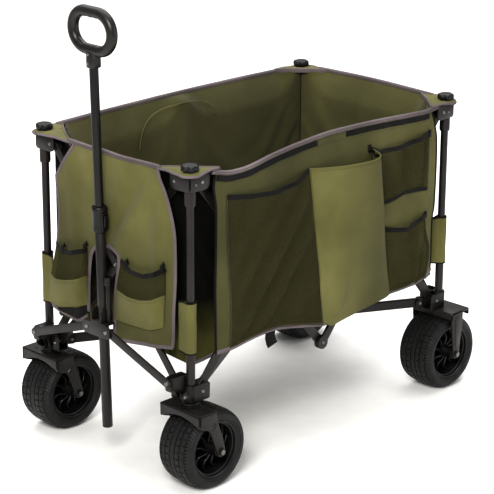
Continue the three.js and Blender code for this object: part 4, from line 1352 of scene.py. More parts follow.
def build_tub():
    nx, ny, nv = 72, 40, 38
    key, verts, faces, tags = {}, [], [], []

    def vert(p):
        k = (round(p[0], 2), round(p[1], 2), round(p[2], 2))
        if k not in key:
            key[k] = len(verts)
            verts.append(p)
        return key[k]

    def grid(which, n, order):
        g = [[vert(tub_wall(which, -1 + 2 * i / n, 1 - (1 - j / nv) ** 1.25)) for i in range(n + 1)] for j in range(nv + 1)]
        for j in range(nv):
            for i in range(n):
                f = [g[j][i], g[j][i + 1], g[j + 1][i + 1], g[j + 1][i]]
                faces.append(f if order else f[::-1])
                tags.append(which)
        return g
    near, far = grid("near", nx, False), grid("far", nx, True)
    front, rear = grid("front", ny, True), grid("rear", ny, False)
    # floor, blended from its four edges so that it follows the recess
    for j in range(ny):
        for i in range(nx):
            q = []
            for di, dj in ((0, 0), (1, 0), (1, 1), (0, 1)):
                a, b = (i + di) / nx, (j + dj) / ny
                A, B = Vector(verts[near[0][i + di]][:3]), Vector(verts[far[0][i + di]][:3])
                C, D = Vector(verts[front[0][j + dj]][:3]), Vector(verts[rear[0][j + dj]][:3])
                k00, k10 = Vector(verts[near[0][0]][:3]), Vector(verts[near[0][nx]][:3])
                k01, k11 = Vector(verts[far[0][0]][:3]), Vector(verts[far[0][nx]][:3])
                p = (A.lerp(B, b) + C.lerp(D, a) - (k00.lerp(k10, a)).lerp(k01.lerp(k11, a), b))
                q.append(vert([p.x, p.y, p.z, 999.0]))
            faces.append(q)
            tags.append([t for t, ok in (("floor_near", j <= 13), ("floor_middle", 13 <= j <= 26), ("floor_far", j >= 26)) if ok])
    return verts, faces, tags


def simulate(o, pins, frames=22, grow=0.012, gravity=1.0, pressure=0.0, stiff=18.0, cap=None, seed=3):
    """Cloth simulation on a copy: the pinned points stay, and the rest settles. cap(rest, moved) limits each point."""
    me = o.data
    vg = o.vertex_groups.new(name="pin")
    for w, idx in pins:
        vg.add(idx, w, "REPLACE")
    c = o.modifiers.new("Cloth", "CLOTH")
    st = c.settings
    st.quality = 5
    st.mass = 0.35
    st.tension_stiffness = stiff
    st.compression_stiffness = stiff
    st.shear_stiffness = stiff * 0.4
    st.bending_stiffness = 0.6
    st.air_damping = 2.5
    st.vertex_group_mass = "pin"
    st.shrink_min = -grow
    st.use_pressure = pressure != 0
    st.uniform_pressure_force = pressure
    st.effector_weights.gravity = gravity
    c.collision_settings.use_collision = False
    c.point_cache.frame_start = 1
    c.point_cache.frame_end = frames
    rest = [v.co.copy() for v in me.vertices]
    for f in range(1, frames + 1):
        scene.frame_set(f)
    ev = o.evaluated_get(bpy.context.evaluated_depsgraph_get())
    got = [v.co.copy() for v in ev.data.vertices]
    o.modifiers.remove(c)
    scene.frame_set(1)
    for v, r, g in zip(me.vertices, rest, got):
        v.co = cap(r, g) if cap else g
    me.update()


verts, faces, tags = build_tub()
me = bpy.data.meshes.new("tub_shell")
me.from_pydata([tuple(P(*v[:3])) for v in verts], [], faces)
tub = bpy.data.objects.new("tub_shell", me)
scene.collection.objects.link(tub)


def tub_creases(v):
    """Small puckers hung from the rim and the corners, in metres."""
    x, y, z = v[:3]
    top = smooth(520, 690, z)
    return 2.2 * nz(x, y, z * 0.45, 0.011, 4.0) * (0.35 + 0.65 * top)


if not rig.quick():
    held, soft_hold = [], []
    for i, v in enumerate(verts):
        x, y, z, h = v
        corner = abs(x) > TUB_X - 3 and abs(y) > TUB_Y - 3
        if h < 12 or corner and z > 420 or recess(y, z) > 2 and x < -340 or z < 290 and recess(y, z) > 0.5:
            held.append(i)
        elif corner or z < 291 and (abs(x) > TUB_X - 4 or abs(y) > TUB_Y - 4):
            soft_hold.append(i)

    def tub_cap(r, g):
        d = g - r
        if d.length > 0.022:
            d = d * (0.022 / d.length)
        p = r + d
        x, y = p.x * 1000 - SH, p.y * 1000
        z = p.z * 1000
        # stays inside the scissor bars and above the folded floor links
        lim_y = max(abs(r.y * 1000), TUB_Y + 3.5)
        lim_x = max(abs(r.x * 1000 - SH), TUB_X + 3.5)
        if abs(y) > lim_y:
            p.y = math.copysign(lim_y, y) / 1000
        if abs(x) > lim_x:
            p.x = (math.copysign(lim_x, x) + SH) / 1000
        if z < 268:
            p.z = 0.268
        return p
    simulate(tub, [(1.0, held), (0.75, soft_hold)], frames=22, grow=0.012, gravity=0.6, stiff=22.0, cap=tub_cap)
    verts_now = [v.co.copy() for v in me.vertices]
else:
    verts_now = [v.co.copy() for v in me.vertices]
for i, v in enumerate(me.vertices):
    x, y, z, h = verts[i]
    k = tub_creases(verts[i]) / 1000
    if h > 14 and z > 290 and recess(y, z) < 1:
        if abs(y) > TUB_Y - 4 and abs(x) < TUB_X - 20:
            v.co.y -= math.copysign(abs(k), y)
        elif abs(x) > TUB_X - 4 and abs(y) < TUB_Y - 20:
            v.co.x -= math.copysign(abs(k), x)
    # the foot of the towing end stands a little higher, clear of the tipped handle
    xn, yn, zn = v.co.x * 1000 - SH, v.co.y * 1000, v.co.z * 1000
    v.co.z += 0.019 * smooth(52, 22, abs(yn)) * smooth(-334, -366, xn) * smooth(345, 305, zn)
me.update()


def part_tub(name, tag, mat, outer=None, drop=0.0):
    idx = {}
    vs, fs = [], []
    for f, t in zip(faces, tags):
        if t == tag or isinstance(t, list) and tag in t:
            g = []
            for i in f:
                if i not in idx:
                    idx[i] = len(vs)
                    vs.append(tuple(me.vertices[i].co + Vector((0, 0, drop))))
                g.append(idx[i])
            fs.append(g)
    m2 = bpy.data.meshes.new(name)
    m2.from_pydata(vs, [], fs)
    m2.polygons.foreach_set("use_smooth", [True] * len(m2.polygons))
    m2.materials.append(mat)
    o = bpy.data.objects.new(name, m2)
    scene.collection.objects.link(o)
    sol = o.modifiers.new("thickness", "SOLIDIFY")
    sol.thickness = 0.0022
    sol.offset = 0
    # the outer faces take the second material, the painted-shade one
    if outer:
        m2.materials.append(outer)
        sol.material_offset = 1
    s_ = o.modifiers.new("subdivision", "SUBSURF")
    s_.levels = s_.render_levels = 1
    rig.slot(o, "olive_fabric")
    return o


SOFT = []
for which in ("near", "far", "front", "rear"):
    # the far and front walls take the darker, painted-shade copy of the lining
    o = part_tub(f"tub_wall_{which}", which, OLIVE_IN_PAINTED_SHADE if which in ("far", "front") else OLIVE_IN, OUTER_PAINTED_SHADE)
    folds(o, which)
    if which == "near":
        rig.replaces(o, "bag")
    SOFT.append((o, (0.80, 0.42) if which in ("near", "far") else (0.45, 0.42)))
for which, body, ax, drop in (("near", "top_front_left", -PX, 0.0), ("middle", "base_hub_body", 0.0, -0.0016), ("far", "top_front_right", -PX, 0.0012)):
    o = part_tub(f"tub_floor_{which}", f"floor_{which}", OLIVE_FLOOR, OUTER_PAINTED_SHADE, drop=drop)
    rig.ride(o, body)
    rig.squash(o, "frame_fold", axis=(1, 0, 0), anchor=tuple(P(ax, 0, 288)), keep=0.337)
    SOFT.append((o, (0.78, 0.15)))
bpy.data.objects.remove(tub)

for which, sy in (("near", -1), ("far", 1)):
    s = Shell()
    foot_line = [(x, sy * (TUB_Y + 0.6), 286 - 18 * smooth(190, 388, abs(x)) + 2.6) for x in range(-389, 390, 12)]
    s.sweep(foot_line, round_rect(8.5, 4.6, 2.0, 3), BINDING, (0, sy, 0))
    for sx in (-1, 1):
        s.sweep([(sx * (TUB_X + 0.6), sy * (TUB_Y + 0.6), z) for z in range(272, 692, 14)], round_rect(4.6, 4.6, 2.0, 3), WEBBING, (sx, sy, 0))
    folds(s.done(f"tub_seams_{which}", None, slot=False, smooth_all=True), which)

# ------------------------------------------------------------------ fabric: hanging side panels
NEAR_OUT = [(-350, 684), (-330, 681), (-310, 678), (-290, 676.5), (-250, 677.5), (-190, 687), (-130, 694), (-68, 699), (-11, 702), (60, 701), (130, 698.5), (194, 695), (270, 690), (326, 688), (340, 689),
            (352, 655), (364, 618), (366, 542), (363, 461), (356, 424), (355, 346), (350, 305), (339, 293), (268, 284), (176, 283), (108, 279), (41, 271), (-19, 268), (-84, 281), (-167, 296), (-247, 297), (-308, 291), (-346, 288),
            (-352, 367), (-351, 499), (-350, 607), (-356, 655)]
FAR_OUT = [(-356, 694), (-200, 698), (0, 699), (200, 697), (356, 694), (362, 560), (356, 420), (352, 300), (200, 288), (0, 284), (-200, 290), (-350, 298), (-356, 420), (-360, 560)]


def near_y(x, z):
    """The near panel's cloth, from its plane: hung from the rim, with shallow waves that grow towards its lower edge."""
    low = smooth(650, 300, z)
    y = -SIDE_Y
    y -= 3.0 * smooth(690, 600, z) * (0.5 + 0.5 * math.cos(x / 118.0 + 0.6))
    y -= 5.5 * low * (0.5 + 0.5 * math.sin(x / 46.0 + 1.1 + z / 300.0))
    y -= 2.2 * nz(x, 0, z, 0.012, 1.0) * low
    y += 5.0 * smooth(-300, -352, x) * low
    y += 4.5 * smooth(318, 366, x)
    # a pleat where the panel hangs from its right-hand corner
    y -= 3.4 * math.exp(-((x - (352 - (688 - z) * 0.16)) / 9.0) ** 2) * smooth(700, 640, z)
    # pucker lines under the rim
    y -= 0.9 * math.sin(x / 11.0 + 0.7 * math.sin(x / 37.0)) * smooth(600, 672, z) * smooth(700, 684, z)
    return min(y, -232.5 if abs(x) < 340 else -230.5)


def far_y(x, z):
    low = smooth(650, 300, z)
    return -(-SIDE_Y - 3.0 * smooth(690, 600, z) * (0.5 + 0.5 * math.cos(x / 130.0)) - 5.0 * low * (0.5 + 0.5 * math.sin(x / 52.0 + 0.3)) - 2 * nz(x, 9, z, 0.012, 2.0) * low)


near_panel = cloth_panel("near_side_panel", rounded(NEAR_OUT, 6, 2), 9.0, lambda a, b: (a, near_y(a, b), b), OLIVE_NEAR_PAINTED_SHADE, 1.6, side="near")
far_panel = cloth_panel("far_side_panel", rounded(FAR_OUT, 6, 2), 11.0, lambda a, b: (a, far_y(a, b), b), OLIVE, 1.6, side="far")
REAR_OUT = [(-176, 696), (0, 699), (176, 696), (182, 560), (178, 420), (174, 300), (60, 292), (-60, 292), (-174, 300), (-178, 420), (-182, 560)]


def rear_x(y, z):
    low = smooth(650, 300, z)
    return REAR_X + 2.5 * smooth(690, 600, z) * (0.5 + 0.5 * math.cos(y / 60.0)) + 3.5 * low * (0.5 + 0.5 * math.sin(y / 33.0)) + 1.6 * nz(3, y, z, 0.013, 5.0) * low


rear_panel = cloth_panel("rear_panel", rounded(REAR_OUT, 6, 2), 11.0, lambda a, b: (rear_x(a, b), a, b), OLIVE, 1.6, side="rear")
SOFT += [(near_panel, (0.71, 0.41)), (far_panel, (0.72, 0.41)), (rear_panel, (0.36, 0.40))]

FRONT_OUT = [(-150, 695), (-170, 655), (-190, 605), (-201, 556), (-202, 478), (-198, 402), (-194, 330), (-190, 311), (-98, 296), (-26, 286), (-19, 300), (-19, 360), (-25, 415), (-33, 455), (-29, 480), (-8, 491), (32, 482), (49, 468), (58, 440), (62, 395), (66, 330), (100, 297),
             (158, 301), (188, 309), (184, 372), (168, 440), (160, 500), (158, 543), (163, 605), (157, 622), (104, 695)]


def front_x(y, z):
    low = smooth(660, 320, z)
    x = FRONT_X
    x -= 3.0 * smooth(690, 600, z) * (0.5 + 0.5 * math.cos(y / 70.0))
    # the long slanting fold from the near shoulder to the arch, and two softer ones beside it
    d = (y + 130) * 0.83 - (645 - z) * 0.56
    x -= 9.0 * math.exp(-(d / 17.0) ** 2) * smooth(690, 640, z) * smooth(470, 520, z)
    x += 4.0 * math.exp(-((d - 27) / 12.0) ** 2) * smooth(690, 620, z) * smooth(450, 520, z)
    x -= 4.5 * math.exp(-((d - 62) / 20.0) ** 2) * smooth(680, 620, z) * smooth(470, 530, z)
    x -= 5.0 * math.exp(-((y + 158 - (640 - z) * 0.05) / 14.0) ** 2) * smooth(660, 600, z)
    x -= 4.0 * math.exp(-((y - 118 + (640 - z) * 0.08) / 18.0) ** 2) * smooth(680, 600, z)
    # small puckers gathered under the rim binding
    x -= 1.0 * math.sin(y / 9.0 + 0.8 * math.sin(y / 31.0)) * smooth(610, 672, z) * smooth(697, 684, z)
    x -= 1.8 * nz(1, y, z, 0.014, 7.0) * low
    return x


front_panel = cloth_panel("front_panel", rounded(FRONT_OUT, 5, 2), 7.0, lambda a, b: (front_x(a, b), a, b), OLIVE_FRONT_PAINTED_SHADE, 1.6, side="front")
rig.replaces(front_panel, "front_pocket_panel")
SOFT.append((front_panel, (0.39, 0.41)))


# ------------------------------------------------------------------ fabric: bindings and webbing on the near side
def on_near(pts, lift=0.0, step=7.0, closed=False):
    return [(a, near_y(a, b) - lift, b) for a, b in dense(pts, step, closed)]


def smooth_line(pts, n=12):
    """A Catmull-Rom line through (a, b) points."""
    out = []
    m = len(pts)
    for i in range(m - 1):
        p0, p1, p2, p3 = Vector(pts[max(0, i - 1)]), Vector(pts[i]), Vector(pts[i + 1]), Vector(pts[min(m - 1, i + 2)])
        for j in range(n):
            t = j / n
            out.append(tuple(0.5 * (2 * p1 + (p2 - p0) * t + (2 * p0 - 5 * p1 + 4 * p2 - p3) * t * t + (3 * p1 - 3 * p2 + p3 - p0) * t**3)))
    out.append(tuple(pts[-1]))
    return out


s = Shell()
low_edge = [(352, 305), (339, 293), (268, 284), (176, 283), (108, 279), (41, 271), (-19, 268), (-84, 281), (-167, 296), (-247, 297), (-308, 291), (-348, 289)]
tape(s, [(a, near_y(a, b + 3), b + 3.5) for a, b in smooth_line(low_edge, 5)], (0, -1, 0), 9.5, 4.2)
tape(s, [(x, -SIDE_Y + 0.2, RIM_NEAR(x) + 0.4) for x in range(-360, 365, 8)], (0, -1, 0), 11.0, 7.4)
folds(s.done("near_panel_binding", None, slot=False, smooth_all=True), "near")
s = Shell()
tape(s, [(a, near_y(a, b), b) for a, b in smooth_line([(-349, 290), (-352, 367), (-351, 499), (-350, 607), (-356, 655), (-351, 680)], 8)], (-1, -0.3, 0), 5.0, 4.4, WEBBING)
tape(s, [(a, near_y(a, b), b) for a, b in smooth_line([(350, 302), (355, 346), (356, 424), (363, 461), (366, 542), (364, 618), (352, 655), (341, 684)], 8)], (1, -0.3, 0), 5.0, 4.4, WEBBING)
for x0, x1 in ((-348, -47), (48, 331)):
    n_ = int((x1 - x0) / 7)
    pts = [(lerp(x0, x1, i / n_), -0.0, 0) for i in range(n_ + 1)]
    tape(s, [(p[0], near_y(p[0], RIM_NEAR(p[0]) - 15) - 1.5, RIM_NEAR(p[0]) - 11.2) for p in pts], (0, -1, 0), 13.0, 1.9, WEBBING)
# tab hanging from the lower edge, and a short end of the floor strap behind it
s.sweep([(-184, near_y(-184, 292) + 2.0, 296), (-183, -238.5, 284), (-181, -240, 272), (-179, -243, 264)], round_rect(30, 2.2, 1.0, 2), WEBBING, (0, -1, 0))
s.sweep([(120, near_y(120, 286) + 2.0, 290), (121, -238.5, 279), (123, -240, 268)], round_rect(26, 2.2, 1.0, 2), WEBBING, (0, -1, 0))
folds(s.done("near_panel_webbing", None, slot=False, smooth_all=True), "near")


def stitches(s, pts, normal, length=3.4, gap=2.6, r=0.45, mat=None):
    """A row of raised thread stitches along a line."""
    pts = [Vector(p) for p in pts]
    total, d = 0.0, []
    for a, b in zip(pts, pts[1:]):
        d.append(total)
        total += (b - a).length
    d.append(total)

    def at_(q):
        q = max(0, min(total, q))
        for i in range(len(pts) - 1):
            if q <= d[i + 1]:
                return pts[i].lerp(pts[i + 1], (q - d[i]) / max(1e-6, d[i + 1] - d[i]))
        return pts[-1]
    q = 0.0
    sec = [(r, -0.2), (r * 0.6, r * 0.8), (-r * 0.6, r * 0.8), (-r, -0.2)]
    while q + length < total:
        s.sweep([tuple(at_(q)), tuple(at_(q + length / 2)), tuple(at_(q + length))], sec, mat or OLIVE, normal)
        q += length + gap


THREAD_DARK = woven("thread_dark", lin(44, 41, 30), lin(58, 54, 40), lin(70, 66, 50), pitch=1.0)
s = Shell()
stitches(s, [(x, near_y(x, RIM_NEAR(x) - 19) - 0.9, RIM_NEAR(x) - 19.5) for x in range(-46, 49, 6)], (0, -1, 0), 4.2, 3.2, 0.6, THREAD_DARK)
stitches(s, [(x, near_y(x, RIM_NEAR(x) - 23) - 0.9, RIM_NEAR(x) - 22.5) for x in range(-300, 330, 9)], (0, -1, 0), 3.4, 2.8, 0.4, THREAD_DARK)
stitches(s, [(-311, near_y(-311, z) - 0.9, z) for z in range(636, 300, -9)], (0, -1, 0), 3.4, 2.8, 0.4, THREAD_DARK)
for dz in (-2.7, 1.5):
    stitches(s, [(x, -SIDE_Y - 3.5, RIM_NEAR(x) + 0.2 + dz) for x in range(-356, 362, 6)], (0, -1, 0), 4.4, 2.2, 0.6, THREAD_DARK)
folds(s.done("near_panel_stitching", None, slot=False), "near")


# ------------------------------------------------------------------ fabric: near side pockets
def pline(pts):
    """Position along (a, b) points by height fraction 0..1 of the list."""
    def f(t):
        t = max(0, min(1, t)) * (len(pts) - 1)
        i = min(len(pts) - 2, int(t))
        return Vector(pts[i]).lerp(Vector(pts[i + 1]), t - i)
    return f


def quad_map(left, right, bottom, top):
    """Coons patch in (a, b) from four lines; left and right run upwards, bottom and top rightwards."""
    L, R, B, T = pline(left), pline(right), pline(bottom), pline(top)

    def f(u, v):
        return tuple(L(v).lerp(R(v), u) + B(u).lerp(T(u), v)
                     - (Vector(left[0]).lerp(Vector(right[0]), u)).lerp(Vector(left[-1]).lerp(Vector(right[-1]), u), v))
    return f


BIG = quad_map([(-314, 297), (-311, 401), (-319, 514), (-320, 628)], [(-28, 272), (-41, 377), (-49, 448), (-64, 520), (-74, 634)],
               [(-314, 297), (-247, 303), (-167, 302), (-84, 287), (-28, 272)], [(-320, 628), (-250, 617), (-177, 613), (-128, 620), (-74, 634)])


def big_y(u, v):
    a, b = BIG(u, v)
    y = near_y(a, b) - 2.2
    edge = smooth(0, 0.10, u) * smooth(1, 0.90, u) * smooth(0, 0.10, v)
    k = (a + 190) * 0.80 + (b - 450) * -0.60
    ridges = 9.5 * math.exp(-((k - 62) / 15.0) ** 2) + 8.0 * math.exp(-((k - 8) / 15.0) ** 2) + 6.0 * math.exp(-((k + 50) / 17.0) ** 2) + 3.5 * math.exp(-((k + 105) / 18.0) ** 2)
    y -= edge * (2.4 + ridges * (0.55 + 0.45 * smooth(0.05, 0.5, v)) + 1.6 * nz(a, 0, b, 0.02, 3.0))
    y -= 6.5 * smooth(0.80, 1.0, v) * math.sin(math.pi * min(1, max(0, u)))
    return a, y, b


net_big = net("mesh_pocket_large", big_y, 252, 330, side="near")
SMALL_U = quad_map([(168, 505), (150, 570), (124, 643)], [(325, 508), (328, 573), (331, 636)], [(168, 505), (209, 508), (243, 515), (325, 508)], [(124, 643), (150, 629), (238, 627), (287, 632), (331, 636)])
SMALL_L = quad_map([(196, 288), (186, 360), (178, 443)], [(328, 293), (342, 334), (345, 363), (326, 411), (320, 447)], [(196, 288), (267, 289), (328, 293)], [(178, 443), (214, 436), (247, 431), (282, 437), (320, 447)])


def small_y(f, depth, k0):
    def g(u, v):
        a, b = f(u, v)
        edge = smooth(0, 0.14, u) * smooth(1, 0.86, u) * smooth(0, 0.14, v)
        y = near_y(a, b) - 2.2 - edge * (depth + 2.2 * math.sin(a / 13.0 + b / 60.0 + k0) + 1.2 * nz(a, 2, b, 0.03, 6.0))
        y -= 0.8 * depth * smooth(0.7, 1.0, v) * math.sin(math.pi * min(1, max(0, u)))
        return a, y, b
    return g


U_Y, L_Y = small_y(SMALL_U, 4.0, 0.0), small_y(SMALL_L, 6.0, 1.4)
net_u = net("mesh_pocket_small_upper", U_Y, 165, 128, side="near")
net_l = net("mesh_pocket_small_lower", L_Y, 145, 155, side="near")

s = Shell()
for f, lo_u, hi_u in ((big_y, 0.0, 1.0), (U_Y, 0.0, 1.0), (L_Y, 0.0, 1.0)):
    pts = [f(i / 40, 1.0) for i in range(41)]
    tape(s, [(p[0], p[1] - 0.4, p[2]) for p in pts], (0, -1, 0), 10.5, 2.6, WEBBING)
pts = [U_Y(i / 24, 0.0) for i in range(25)]
tape(s, [(p[0], p[1] - 0.6, p[2]) for p in pts], (0, -1, 0), 8.5, 2.2, WEBBING)
for f in (U_Y, L_Y, big_y):
    us = (0.0, 1.0) if f is not big_y else (0.0,)
    for u in us:
        pts = [f(u, i / 20) for i in range(21)]
        tape(s, [(p[0], p[1] - 0.5, p[2]) for p in pts], (0, -1, 0), 2.6, 1.6, THREAD_DARK)
for u in (0.0, 1.0):
    p = U_Y(u, 1.0)
    tape(s, [(p[0], p[1] - 1.4, p[2] - 8), (p[0], p[1] - 1.6, p[2]), (p[0], p[1] - 1.4, p[2] + 8)], (0, -1, 0), 9, 2.6, WEBBING)
    p = L_Y(u, 1.0)
    tape(s, [(p[0], p[1] - 1.4, p[2] - 8), (p[0], p[1] - 1.6, p[2]), (p[0], p[1] - 1.4, p[2] + 7)], (0, -1, 0), 9, 2.6, WEBBING)
folds(s.done("pocket_mouth_webbing", None, slot=False, smooth_all=True), "near")

# the plain middle pocket: sewn flat at its left edge and along the bottom, standing out in a round bulge at the right of its mouth
TOP_PLAN = [(-73, 0.0), (-40, 9), (0, 19), (40, 28), (80, 34), (108, 35.5), (126, 30), (135, 18), (133, 6), (130, 1)]
BOT_PLAN = [(-29, 0.0), (-10, 1.5), (12, 3), (45, 4.5), (85, 6), (125, 7), (160, 6.5), (186, 4.5), (197, 2.5), (201, 1)]


def mid_pocket(u, v):
    i = min(len(TOP_PLAN) - 2, int(u * (len(TOP_PLAN) - 1)))
    t = u * (len(TOP_PLAN) - 1) - i
    p0, p1, p2, p3 = [Vector(TOP_PLAN[max(0, min(len(TOP_PLAN) - 1, i + k))]) for k in (-1, 0, 1, 2)]
    q0, q1, q2, q3 = [Vector(BOT_PLAN[max(0, min(len(BOT_PLAN) - 1, i + k))]) for k in (-1, 0, 1, 2)]

    def cr(a, b, c, d):
        return 0.5 * (2 * b + (c - a) * t + (2 * a - 5 * b + 4 * c - d) * t * t + (3 * b - 3 * c + d - a) * t**3)
    top, bot = cr(p0, p1, p2, p3), cr(q0, q1, q2, q3)
    w = v ** 0.9
    x = lerp(bot.x, top.x, v) + 5.0 * math.sin(math.pi * v) * smooth(0.0, 0.25, u) * (1 - u)
    out = lerp(bot.y, top.y, w)
    out += 7.0 * math.sin(math.pi * v) * math.sin(math.pi * min(1, u * 1.05)) * (1 if u < 0.95 else 0.4)
    zt = curve([(0, 638), (0.25, 630), (0.5, 628), (0.7, 631), (0.85, 637), (1.0, 645)])(u)
    zb = curve([(0, 280), (0.09, 268), (0.17, 262), (0.3, 266), (0.6, 276), (0.85, 282), (1.0, 284)])(u)
    z = lerp(zb, zt, v)
    out += 1.6 * nz(x, 0, z, 0.015, 9.0) * math.sin(math.pi * v)
    # slack folds rising from the lower tip
    k = (x - 5) - (z - 262) * 0.22
    out += 3.6 * math.exp(-(k / 16.0) ** 2) * smooth(262, 300, z) * smooth(470, 330, z)
    out -= 2.4 * math.exp(-((k - 34) / 15.0) ** 2) * smooth(262, 300, z) * smooth(450, 320, z)
    y = near_y(max(-345, min(345, x)), z) - 2.6 - max(0.0, out)
    return x, y, z


mid = surface("middle_pocket", mid_pocket, 54, 44, OLIVE_POCKET_PAINTED_SHADE, 1.6, side="near")
s = Shell()
rimline = [mid_pocket(i / 60, 1.0) for i in range(61)]
for k, zz in ((0.0, 5.5),):
    hem = [(p[0], p[1] - 1.1, p[2] - zz) for p in rimline[1:54]]
    stitches(s, hem, (0, -1, 0), 3.4, 2.6, 0.42, THREAD_DARK)
left_seam = [mid_pocket(0.012, i / 40) for i in range(41)]
stitches(s, [(p[0], p[1] - 1.1, p[2]) for p in left_seam], (0, -1, 0), 3.6, 2.8, 0.5, THREAD_DARK)
folds(s.done("middle_pocket_stitching", None, slot=False), "near")
s = Shell()
# the doubled hem inside the mouth
tape(s, [(p[0], p[1], p[2] + 0.2) for p in rimline], lambda i, p: Vector((0, 0, 1)), 3.0, 2.2, OLIVE)
folds(s.done("middle_pocket_hem", None, smooth_all=True), "near")
# a black strip just inside the open right part of the mouth: painted shade of the pocket's inside
s = Shell()
lip = [mid_pocket(0.60 + 0.40 * i / 26, 1.0) for i in range(27)]
tape(s, [(p[0] - 1.6 * smooth(0.3, 1.0, i / 26), p[1] + 2.4 * smooth(1.0, 0.5, i / 26), p[2] - 6.5) for i, p in enumerate(lip)], lambda i, p: Vector((smooth(0.45, 1.0, i / 26), -1.0 + 0.9 * smooth(0.45, 1.0, i / 26), 0)), 15.0, 1.6, WEBBING)
folds(s.done("middle_pocket_tape", None, slot=False, smooth_all=True), "near")
SOFT.append((mid, (0.235, 0.365)))


# ------------------------------------------------------------------ fabric: front panel cups, binding and webbing
def fpt(y, z, d=0.0):
    """A point standing d out from the front panel, sheared so that a bulge keeps its outline."""
    return (front_x(y, z) - d, y - 0.7 * d, z + 0.33 * d)


CUP_L = quad_map([(200, 314), (191, 376), (168, 456)], [(66, 342), (64, 405), (68, 469)], [(200, 314), (165, 310), (105, 326), (66, 342)], [(168, 456), (153, 448), (117, 449), (74, 463), (68, 469)])
CUP_R = quad_map([(-17, 330), (-24, 396), (-40, 467)], [(-166, 350), (-173, 420), (-174, 482)], [(-17, 330), (-74, 331), (-124, 334), (-166, 350)], [(-40, 467), (-76, 452), (-113, 452), (-150, 466), (-174, 482)])


def cup(f, deep):
    def g(u, v):
        y, z = f(u, v)
        belly = curve([(0, 0.10), (0.2, 0.62), (0.5, 1.0), (0.62, 1.0), (1.0, 0.72)])(v)
        d = 2.4 + deep * belly * max(0.0, math.sin(math.pi * min(1, max(0, u)))) ** 0.75
        d += 1.2 * nz(y, 4, z, 0.03, 2.0) * math.sin(math.pi * u)
        return fpt(y, z, d)
    return g


CL, CR = cup(CUP_L, 27.0), cup(CUP_R, 24.0)
SPLIT = 0.53
for nm, g, w in (("left", CL, 0.14), ("right", CR, 0.155)):
    o = surface(f"front_cup_{nm}", lambda u, v, g=g: g(u, v * SPLIT), 30, 16, OLIVE, 1.6, side="front")
    SOFT.append((o, (w, 0.085)))
    net(f"front_cup_mesh_{nm}", lambda u, v, g=g: g(u, SPLIT + v * (1 - SPLIT)), 150, 66, side="front")
s = Shell()
st2 = Shell()
for g in (CL, CR):
    top = [g(i / 30, 1.0) for i in range(31)]
    tape(s, [(p[0] - 0.6, p[1], p[2]) for p in top], (-1, 0, 0), 10.5, 2.6, WEBBING)
    for u in ((0.36, 0.93) if g is CL else (0.13, 0.93)):
        p = g(u, 1.0)
        tape(s, [(p[0] - 1.8, p[1], p[2] - 6), (p[0] - 2.4, p[1], p[2] + 2), (p[0] - 1.0, p[1] + 1, p[2] + 11), (p[0] + 2.4, p[1] + 2, p[2] + 14.5), (p[0] + 5.0, p[1] + 2, p[2] + 8)], lambda i, q: Vector((-1, 0, 0.2 * i)), 10.0, 2.0, WEBBING)
    mid_line = [g(i / 40, SPLIT) for i in range(41)]
    tape(s, [(p[0] - 0.7, p[1], p[2]) for p in mid_line], (-1, 0, 0), 3.4, 2.0, OLIVE)
    stitches(st2, [(g(i / 40, SPLIT - 0.045)[0] - 0.9,) + tuple(g(i / 40, SPLIT - 0.045)[1:]) for i in range(1, 40)], (-1, 0, 0), 3.2, 2.6, 0.4, THREAD_DARK)
folds(s.done("front_cup_webbing", None, slot=False, smooth_all=True), "front")
stitches(st2, [(front_x(y, RIM_FRONT(y)) - 3.3, y, RIM_FRONT(y) + 0.2) for y in range(-154, 122, 6)], (-1, 0, 0), 4.4, 2.2, 0.7, THREAD_DARK)
folds(st2.done("front_cup_stitching", None, slot=False), "front")

s = Shell()


def on_front(pts, lift=0.6, n=6):
    return [(front_x(a, b) - lift, a, b) for a, b in smooth_line(pts, n)]


tape(s, [(front_x(y, RIM_FRONT(y)) + 0.4, y, RIM_FRONT(y) + 0.2) for y in range(-158, 124, 8)], (-1, 0, 0), 11.0, 7.4)
tape(s, on_front([(-150, 694), (-170, 655), (-190, 605), (-201, 556), (-202, 478), (-198, 402), (-194, 330), (-190, 311)]), (-1, 0, 0), 8.0, 4.0)
tape(s, on_front([(104, 694), (157, 622), (163, 603), (158, 543), (160, 500), (168, 440), (184, 372), (189, 311)]), (-1, 0, 0), 8.0, 4.0)
tape(s, on_front([(-190, 312), (-98, 297), (-26, 287)]), (-1, 0, 0), 8.5, 4.0)
tape(s, on_front([(188, 310), (158, 302), (100, 298), (70, 318)]), (-1, 0, 0), 8.5, 4.0)
ARCH = [(66, 326), (62, 395), (58, 438), (50, 467), (32, 482), (-6, 491), (-29, 481), (-33, 458), (-26, 415), (-19.5, 360), (-19, 302), (-26, 287)]
tape(s, on_front(ARCH, 0.8, 8), (-1, 0, 0), 9.0, 4.6)
for dz in (-2.6, 1.9):
    stitches(s, [(front_x(y, RIM_FRONT(y)) - 3.2, y, RIM_FRONT(y) + 0.2 + dz) for y in range(-152, 122, 6)], (-1, 0, 0), 4.0, 2.4, 0.55, THREAD_DARK)
folds(s.done("front_panel_binding", None, slot=False, smooth_all=True), "front")

